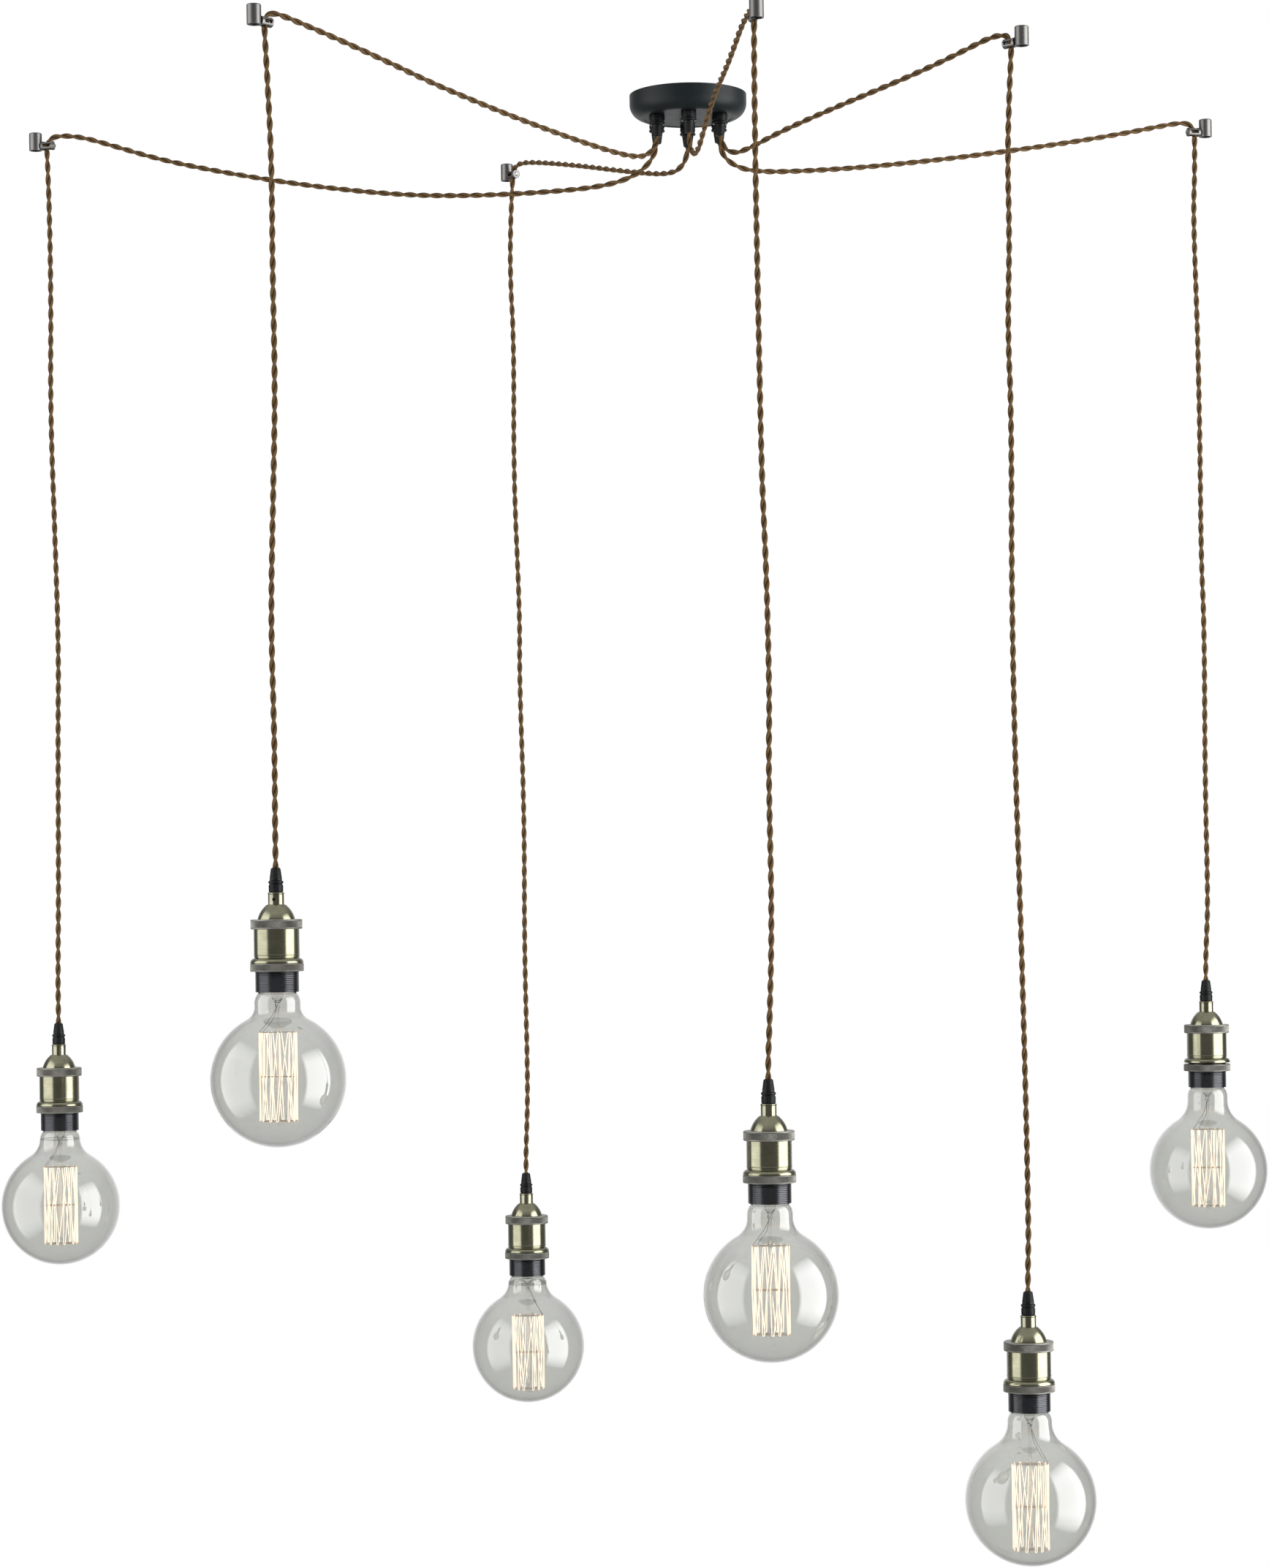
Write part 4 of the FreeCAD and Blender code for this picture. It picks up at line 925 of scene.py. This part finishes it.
class PENDANT_OT_holders(bpy.types.Operator):
    """Make the brass lamp holders with their knurled rings, threaded skirts and ceramic cores"""
    bl_idname = "pendant.holders"
    bl_label = "Lamp holders"

    def execute(self, context):
        settings = context.scene.pendant_holder
        canopy = context.scene.pendant_canopy
        # The last number of the brass and of the skirt metal sets how dark their painted rim shade is.
        brass = turned_metal("aged_brass", settings.brass, 0.13, 0.3, 0.25)
        pewter = knurled_metal("ring_pewter", settings.pewter)
        nickel = turned_metal("black_nickel", settings.nickel, 0.16, 0.25, 0.3)
        plastic = moulded_plastic("holder_grip_plastic", canopy.plastic)
        ceramic = plain_ceramic()
        steel = turned_metal("screw_black", (0.03, 0.03, 0.03, 1), 0.35, 0.3)
        union = knurled(self.union_back(), UNION_RADIUS, UNION_FOOT + UNION_ROUND,
                        UNION_TOP - UNION_ROUND, settings)
        ring = knurled(self.ring_back(), RING_RADIUS, RING_FOOT + RING_ROUND,
                       RING_TOP - RING_ROUND, settings)
        grip = cord_grip(canopy.ribs)
        bmesh.ops.translate(grip, verts=grip.verts, vec=(0, 0, SLEEVE_TOP * MM))
        body = as_mesh(turned(self.body()))
        dome = as_mesh(turned(self.dome()))
        skirt = as_mesh(turned(self.skirt(settings)))
        makes = [
            ("holder_body_%d", body, brass, "antique_brass", ["holder_shell_%d"], 0.15),
            ("holder_dome_%d", dome, brass, "antique_brass", [], 0.15),
            ("holder_sleeve_%d", self.sleeve(), brass, "antique_brass", [], 0.12),
            ("set_screw_%d", as_mesh(self.set_screw()), steel, "antique_brass", [], 0),
            ("holder_grip_%d", as_mesh(grip), plastic, "grip_black", ["cord_grip_%d"], 0.12),
            ("union_knurl_%d", union, pewter, "ring_pewter", ["union_ring_%d"], 0),
            ("skirt_%d", skirt, nickel, "skirt_black_nickel", ["socket_%d"], 0),
            ("core_%d", as_mesh(turned(self.core(), 64)), ceramic, "skirt_black_nickel", [], 0.3),
        ]
        for number in PENDANTS:
            turn = Matrix.Rotation(math.radians(HOLDER_TURNS[number - 1]), 4, "Z")
            place = holder_place(number) @ turn
            for name, mesh, material, slot, nodes, edge in makes:
                stands_for = [node % number for node in nodes]
                show(at_place(mesh, place), name % number, material, "pendant_%d" % number,
                     stands_for, edge * MM)
            ring_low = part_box("shade_ring_%d" % number)[0]
            wound = ring_low[2] - place.translation.z - RING_FOOT * MM
            lowered = Matrix.Translation((0, 0, wound)) @ place
            show(at_place(ring, lowered), "shade_knurl_%d" % number, pewter, "ring_%d" % number,
                 ["shade_ring_%d" % number])
        return {"FINISHED"}

    @staticmethod
    def union_back():
        """The union ring's outline behind its knurl: rounded top, ledge and bore."""
        edge = UNION_RADIUS - UNION_ROUND
        top = arc((edge, UNION_TOP - UNION_ROUND), UNION_ROUND, 0, 90, 5)[1:]
        foot = arc((edge, UNION_FOOT + UNION_ROUND), UNION_ROUND, -90, 0, 5)[:-1]
        ledge = [(UNION_NECK, UNION_LEDGE), (UNION_BORE, UNION_LEDGE)]
        return top + [(UNION_NECK, UNION_TOP)] + ledge + [(UNION_BORE, UNION_FOOT)] + foot

    @staticmethod
    def ring_back():
        """The shade ring's outline behind its knurl."""
        edge = RING_RADIUS - RING_ROUND
        top = arc((edge, RING_TOP - RING_ROUND), RING_ROUND, 0, 90, 4)[1:]
        foot = arc((edge, RING_FOOT + RING_ROUND), RING_ROUND, -90, 0, 4)[:-1]
        return top + [(RING_BORE, RING_TOP), (RING_BORE, RING_FOOT)] + foot

    @staticmethod
    def body():
        """The body's outline: plain tube, fine bead, and a flange that flares over the ring."""
        inner = BODY_RADIUS - 0.6
        groove = BODY_RADIUS - 0.25
        lip = FLANGE_FOOT + 1.4
        flare = bowed((FLANGE_RADIUS, lip), (BODY_RADIUS + 0.5, BODY_FOOT - 0.4), 0.55, 8)
        crease = [(groove, BODY_FOOT), (groove, BODY_FOOT + 0.3), (BODY_RADIUS, BODY_FOOT + 0.7)]
        outside = [(FLANGE_RADIUS - 0.3, FLANGE_FOOT), (FLANGE_RADIUS, FLANGE_FOOT + 0.4)] + flare + crease
        bead = arc((BODY_RADIUS, BODY_FOOT + 2.5), 0.4, -80, 80, 6)
        return outside + bead + [(BODY_RADIUS, DOME_FOOT), (inner, DOME_FOOT), (inner, FLANGE_FOOT)]

    @staticmethod
    def dome():
        """The dome's outline: an ogive from the union ring up to the sleeve."""
        outside = bowed((DOME_FOOT_RADIUS, UNION_TOP), (DOME_TOP_RADIUS, DOME_TOP), 1.4, 12)
        wall = 0.9
        inner = DOME_FOOT_RADIUS - wall
        rim = DOME_FOOT + 1.7
        foot = [(inner, DOME_FOOT), (BODY_RADIUS, DOME_FOOT), (BODY_RADIUS, rim), (DOME_FOOT_RADIUS, rim)]
        roof = [(SPIGOT_RADIUS, DOME_TOP), (SPIGOT_RADIUS, DOME_TOP - wall)]
        return foot + outside + roof + [(DOME_TOP_RADIUS, DOME_TOP - wall), (inner, UNION_TOP)]

    @staticmethod
    def sleeve():
        """The sleeve with its top bead and the hole for its set screw."""
        bead = arc((SLEEVE_RADIUS - 0.55, SLEEVE_TOP - 0.9), 0.9, -75, 75, 6)
        wall = [(SPIGOT_RADIUS, DOME_TOP), (SLEEVE_RADIUS, DOME_TOP), (SLEEVE_RADIUS, SLEEVE_BEAD)]
        tube = turned(wall + bead + [(SPIGOT_RADIUS, SLEEVE_TOP)], 64)
        drill = rod(24, SET_SCREW_BORE, SLEEVE_RADIUS, SCREW_PLACE)
        return drilled(as_mesh(tube), as_mesh(drill))

    @staticmethod
    def set_screw():
        """The sunk set screw in the sleeve's side, with its hexagon hole."""
        screw = turned([(0.8, -1.9), (1.5, -1.9), (1.5, -0.75), (1.3, -0.5), (0.8, -0.5)], 24)
        plug = rod(6, 0.85, 0.4, Matrix.Translation((0, 0, -1.5 * MM)))
        whole = joined(screw, plug)
        bmesh.ops.transform(whole, matrix=SCREW_PLACE, verts=whole.verts)
        return whole

    @staticmethod
    def skirt(settings):
        """The skirt's outline, with its thread as fine ridges below the ring."""
        pitch = settings.thread_pitch / MM
        depth = settings.thread_depth / MM
        ridges = int(SKIRT_TOP / pitch) - 1
        outline = [(SKIRT_BORE, 0), (SKIRT_RADIUS - depth, 0)]
        for ridge in range(ridges):
            foot = 0.5 + ridge * pitch
            outline += [(SKIRT_RADIUS - depth, foot), (SKIRT_RADIUS, foot + pitch * 0.3),
                        (SKIRT_RADIUS, foot + pitch * 0.6)]
        outline += [(SKIRT_RADIUS - depth, 0.5 + ridges * pitch), (SKIRT_RADIUS - depth, SKIRT_TOP)]
        return outline + [(SKIRT_BORE, SKIRT_TOP)]

    @staticmethod
    def core():
        """The ceramic core, hanging in the skirt by its flange."""
        wall = SKIRT_BORE - 0.25
        contact = CORE_ROOF - 1.2
        return [(CORE_BORE, CORE_FOOT), (wall, CORE_FOOT), (wall, SKIRT_TOP), (CORE_FLANGE, SKIRT_TOP),
                (CORE_FLANGE, CORE_TOP), (0.5, CORE_TOP), (0.5, contact), (4, contact), (4, CORE_ROOF),
                (CORE_BORE, CORE_ROOF)]


class PENDANT_OT_lamps(bpy.types.Operator):
    """Make the globe lamps: blown glass, stem, support wires, glowing cage and screw cap"""
    bl_idname = "pendant.lamps"
    bl_label = "Globe lamps"

    def execute(self, context):
        settings = context.scene.pendant_lamp
        # The last number of each glass is how dark its painted rim shade is.
        glass = clear_glass("blown_glass", settings.tint, 0.4)
        stem_glass = clear_glass("stem_glass", (0.93, 0.93, 0.91, 1), 0.3)
        wire = turned_metal("lead_wire", (0.10, 0.09, 0.08, 1), 0.35, 0.3)
        pale = turned_metal("support_wire", (0.50, 0.38, 0.25, 1), 0.3, 0.15)
        glow = glowing_wire(settings.core, settings.edge, settings.glow)
        cap_metal = turned_metal("cap_metal", (0.55, 0.52, 0.44, 1), 0.3, 0.2)
        cap = as_mesh(turned(self.cap(), 64, closed=False))
        for number in PENDANTS:
            neck = LAMP_NECKS[number - 1]
            bend = LAMP_BENDS[number - 1]
            lower = neck + LAMP_CAGES[number - 1]
            glass_node = ["bulb_glass_%d" % number]
            mount_node = ["bulb_mount_%d" % number]
            filament = self.filament(settings.filament, lower, number)
            makes = [
                ("globe_%d", as_mesh(self.globe(neck, bend)), glass, "lamp_glass", glass_node),
                ("stem_%d", as_mesh(self.stem(lower)), stem_glass, "lamp_glass", []),
                ("support_wires_%d", self.supports(lower), pale, "lamp_metal", []),
                ("lead_wires_%d", self.leads(lower), wire, "lamp_metal", []),
                ("filament_%d", filament, glow, "lamp_metal", mount_node),
                ("cap_%d", cap, cap_metal, "lamp_metal", []),
            ]
            turn = math.radians(LAMP_TURNS[number - 1])
            place = holder_place(number) @ Matrix.Rotation(turn, 4, "Z")
            for name, mesh, material, slot, stands_for in makes:
                show(at_place(mesh, place), name % number, material, "lamp_%d" % number, stands_for)
        return {"FINISHED"}

    @staticmethod
    def outline(wall, depth, bend):
        """The globe's outline from its foot to the seal, a wall's thickness inside the outer face."""
        globe = GLOBE_RADIUS - wall
        neck = NECK_RADIUS - wall
        fillet = bend + wall
        across = neck + fillet
        rise = math.sqrt((globe + fillet) ** 2 - across ** 2)
        lean = math.degrees(math.atan2(rise, across))
        points = arc((0, -depth), globe, -90, lean, 44)
        points += arc((across, rise - depth), fillet, 180 + lean, 180, 10)[1:]
        inward = NECK_RADIUS - NECK_MOUTH
        shoulder = (inward ** 2 + NECK_SHOULDER ** 2) / (2 * inward)
        turn = math.degrees(math.asin(NECK_SHOULDER / shoulder))
        points += arc((neck - shoulder, -NECK_SHOULDER), shoulder, 0, turn, 8)
        return points + [(SEAL_RADIUS - wall, SEAL_FOOT), (SEAL_RADIUS - wall, SEAL_TOP)]

    def globe(self, neck, bend):
        """The blown globe with its neck, open at the seal."""
        outside = self.outline(0, GLOBE_DEPTH + neck, bend)
        inside = self.outline(GLASS_WALL, GLOBE_DEPTH + neck, bend)
        return turned(outside + inside[::-1], 128, closed=False)

    @staticmethod
    def stem(lower):
        """The glass stem, hollow down to its press, and the rod that carries the cage."""
        end = CAGE_FOOT - lower - 3
        bead = CAGE_TOP - lower
        outside = [(0, end - 0.8), (1.2, end - 0.5), (2.2, end + 0.8), (ROD_RADIUS, end + 2.4),
                   (ROD_RADIUS, bead - 2), (2.4, bead), (ROD_RADIUS, bead + 2),
                   (ROD_RADIUS, PRESS_FOOT - 3), (2.6, PRESS_FOOT - 1.2), (2.3, PRESS_FOOT + 0.6),
                   (2.9, PRESS_FOOT + 2.5), (5.2, PRESS_FOOT + 6), (5.6, PRESS_FOOT + 8), (5.6, 6),
                   (10.8, SEAL_TOP - 0.6)]
        inside = [(10.2, SEAL_TOP), (4.9, 6.4), (4.9, PRESS_FOOT + 8), (4.5, PRESS_FOOT + 6.4),
                  (2.0, PRESS_FOOT + 3.6), (0, PRESS_FOOT + 3)]
        return turned(outside + inside, 32, closed=False)

    @staticmethod
    def cage_point(turns, height, radius):
        """A point on the filament cage, in metres."""
        angle = FULL_TURN * turns
        return Vector((radius * math.cos(angle), radius * math.sin(angle), height)) * MM

    def supports(self, lower):
        """Three spiders of fine wire that hold the cage."""
        lines = []
        top = CAGE_TOP - lower
        foot = CAGE_FOOT - lower
        for height, phase in ((top, 0.5 + CAGE_TWIST), ((top + foot) / 2, 0.25), (foot, -CAGE_TWIST)):
            for pin in range(HAIRPINS):
                turn = (pin + phase) / HAIRPINS
                lines.append([self.cage_point(turn, height, ROD_RADIUS),
                              self.cage_point(turn, height, CAGE_RADIUS - 0.3)])
        return tubes(lines, SUPPORT_WIRE * MM, 1)

    def leads(self, lower):
        """The lead wires, from the press down to the cage's two ends."""
        lines = []
        top = CAGE_TOP - lower
        for side in (0, 1):
            start = self.cage_point(side / 2 + 0.25, PRESS_FOOT + 1, ROD_RADIUS + 0.6)
            bend = self.cage_point(side / HAIRPINS + 0.06, (PRESS_FOOT + top) / 2, CAGE_RADIUS * 0.45)
            end = self.cage_point((side - 0.5 + CAGE_TWIST) / HAIRPINS, top, CAGE_RADIUS)
            lines.append([start, bend, end])
        return tubes(lines, LEAD_WIRE * MM, 1)

    def filament(self, diameter, lower, number):
        """One wire that runs up and down round the cage, caught unevenly by its middle supports."""
        top = CAGE_TOP - lower
        foot = CAGE_FOOT - lower
        middle = (top + foot) / 2
        points = []
        for pin in range(HAIRPINS):
            sway = [math.sin((2.4 + step * 1.3) * pin + number * 2 + step) for step in range(4)]
            low = pin - CAGE_TWIST + LOOP_SWAY * sway[0]
            caught = pin + 0.25 + CATCH_SWAY * sway[1]
            high = pin + 0.5 + CAGE_TWIST + LOOP_SWAY * sway[2]
            freed = pin + 0.75 + CATCH_SWAY * sway[3]
            low_bend = foot + LOOP_RISE
            high_bend = top - LOOP_RISE
            path = [(low - LOOP_HALF, low_bend), (low, foot), (low + LOOP_HALF, low_bend),
                    (caught, middle + CATCH_RISE * sway[3]),
                    (high - LOOP_HALF, high_bend), (high, top), (high + LOOP_HALF, high_bend),
                    (freed, middle - CATCH_RISE * sway[1])]
            points += [self.cage_point(turn / HAIRPINS, height, CAGE_RADIUS) for turn, height in path]
        return tubes([points[:-1]], diameter, 2)

    @staticmethod
    def cap():
        """The screw cap with its rounded thread, insulator and contact."""
        ridges = 6
        pitch = 3.2
        outline = [(CAP_RADIUS - 0.7, CAP_FOOT), (CAP_RADIUS - 0.4, CAP_FOOT)]
        for ridge in range(ridges):
            foot = CAP_FOOT + 1.5 + ridge * pitch
            outline += [(CAP_RADIUS - 0.9, foot), (CAP_RADIUS - 0.2, foot + 0.8), (CAP_RADIUS, foot + 1.6),
                        (CAP_RADIUS - 0.2, foot + 2.4)]
        return outline + [(CAP_RADIUS - 1, 30.5), (4.5, 34.1), (2.25, 35.5), (0, 35.5)]


class PENDANT_OT_stage(bpy.types.Operator):
    """Set the floor, the soft light panels, the white surroundings and the camera"""
    bl_idname = "pendant.stage"
    bl_label = "Stage"

    def execute(self, context):
        settings = context.scene.pendant_stage
        self.floor(settings)
        self.panel("panel_left", LEFT_PANEL, settings.left_power, SIDE_PANEL_SIZE)
        self.panel("panel_right", RIGHT_PANEL, settings.right_power, SIDE_PANEL_SIZE)
        front = self.panel("panel_front", FRONT_PANEL, settings.front_power, FRONT_PANEL_SIZE)
        front.visible_glossy = False
        self.surroundings(settings)
        self.camera()
        return {"FINISHED"}

    @staticmethod
    def floor(settings):
        """A small pale round floor under the lamps, left out of what they reflect."""
        level = CAD_BOX[0][2] - settings.floor_drop
        shape = bmesh.new()
        bmesh.ops.create_circle(shape, cap_ends=True, segments=96, radius=FLOOR_RADIUS,
                                matrix=Matrix.Translation((0, 0, level)))
        floor = bpy.data.objects.new("floor", as_mesh(shape))
        material, finish = new_finish("pale_floor")
        mottle = finish.noise(finish.place(), 8)
        finish.set(Base_Color=finish.blend(mottle, (0.90, 0.90, 0.90, 1), (0.93, 0.93, 0.93, 1)))
        finish.set(Roughness=0.9)
        floor.data.materials.append(material)
        floor.visible_glossy = False
        bpy.context.scene.collection.objects.link(floor)

    @staticmethod
    def panel(name, place, power, size):
        """A soft light panel that faces the middle of the pendants and fades at its edges."""
        light = bpy.data.lights.new(name, "AREA")
        light.shape = "RECTANGLE"
        light.size, light.size_y = size
        light.energy = power
        light.use_nodes = True
        finish = Finish(light.node_tree, light.node_tree.nodes["Emission"])
        spot = finish.node("ShaderNodeNewGeometry", {}, {}, "Parametric")
        across = finish.node("ShaderNodeSeparateXYZ", {}, {0: spot}, "X")
        upwards = across.beside("Y")
        sides = finish.ramp(across * (1 - across), 0, SIDE_FADE)
        ends = finish.ramp(upwards * (1 - upwards), 0, END_FADE)
        finish.set(Strength=sides * ends)
        carrier = bpy.data.objects.new(name, light)
        carrier.location = place
        carrier.visible_transmission = False
        carrier.rotation_euler = (PANEL_AIM - place).to_track_quat("-Z", "Y").to_euler()
        bpy.context.scene.collection.objects.link(carrier)
        return carrier

    @staticmethod
    def surroundings(settings):
        """White all round for the camera, and darker at the front for what metal reflects."""
        world = bpy.data.worlds.new("surroundings")
        world.use_nodes = True
        bpy.context.scene.world = world
        finish = Finish(world.node_tree, world.node_tree.nodes["Background"])
        path = finish.node("ShaderNodeLightPath", {}, {}, "Is Camera Ray")
        glossy = path.beside("Is Glossy Ray")
        through = path.beside("Is Transmission Ray")
        place = finish.node("ShaderNodeTexCoord", {}, {}, "Generated")
        depth = finish.node("ShaderNodeSeparateXYZ", {}, {0: place}, "Y")
        back = finish.ramp(depth, *BACK_FADE)
        height = depth.beside("Z")
        above = finish.ramp(height, *CEILING_FADE) * settings.ceiling
        seen = finish.node("ShaderNodeMath", {"operation": "MAXIMUM"}, {0: path, 1: through})
        mirrored = glossy * (settings.front + back * (1 - settings.front) + above)
        plain = (1 - seen) * (1 - glossy) * settings.fill
        finish.set(Color=(1, 1, 1, 1), Strength=seen + (1 - seen) * mirrored + plain)

    @staticmethod
    def camera():
        """The camera that took the photograph."""
        lens = bpy.data.cameras.new("photo_camera")
        lens.sensor_fit = "VERTICAL"
        lens.sensor_height = SENSOR
        lens.lens = FOCAL_PIXELS / PHOTO_HEIGHT * SENSOR
        lens.shift_y = HORIZON_DROP_PIXELS / PHOTO_HEIGHT
        lens.clip_end = 50
        camera = bpy.data.objects.new("photo_camera", lens)
        camera.location = CAMERA_PLACE
        camera.rotation_euler = (math.radians(90), math.radians(CAMERA_ROLL), 0)
        bpy.context.scene.collection.objects.link(camera)
        bpy.context.scene.camera = camera


class PENDANT_PT_panel(bpy.types.Panel):
    """Lists the pieces of the pendant and their settings"""
    bl_idname = "PENDANT_PT_panel"
    bl_label = "Swag pendant"
    bl_space_type = "VIEW_3D"
    bl_region_type = "UI"
    bl_category = "Pendant"

    def draw(self, context):
        for name, group, operator in PIECES:
            box = self.layout.box()
            box.operator(operator)
            settings = getattr(context.scene, name)
            for entry in group.__annotations__:
                box.prop(settings, entry)


PIECES = [
    ("pendant_stage", StageSettings, "pendant.stage"),
    ("pendant_flex", FlexSettings, "pendant.flexes"),
    ("pendant_canopy", CanopySettings, "pendant.canopy"),
    ("pendant_holder", HolderSettings, "pendant.holders"),
    ("pendant_lamp", LampSettings, "pendant.lamps"),
]
OPERATORS = [PENDANT_OT_stage, PENDANT_OT_flexes, PENDANT_OT_canopy, PENDANT_OT_holders,
             PENDANT_OT_lamps]


def register():
    for name, group, operator in PIECES:
        bpy.utils.register_class(group)
        setattr(bpy.types.Scene, name, bpy.props.PointerProperty(type=group))
    for operator in OPERATORS:
        bpy.utils.register_class(operator)
    bpy.utils.register_class(PENDANT_PT_panel)


def unregister():
    bpy.utils.unregister_class(PENDANT_PT_panel)
    for operator in reversed(OPERATORS):
        bpy.utils.unregister_class(operator)
    for name, group, operator in reversed(PIECES):
        delattr(bpy.types.Scene, name)
        bpy.utils.unregister_class(group)


def main():
    register()
    bpy.context.scene.view_settings.view_transform = "Standard"
    bpy.ops.pendant.stage()
    bpy.ops.pendant.flexes()
    bpy.ops.pendant.canopy()
    bpy.ops.pendant.holders()
    bpy.ops.pendant.lamps()


if __name__ == "__main__":
    main()
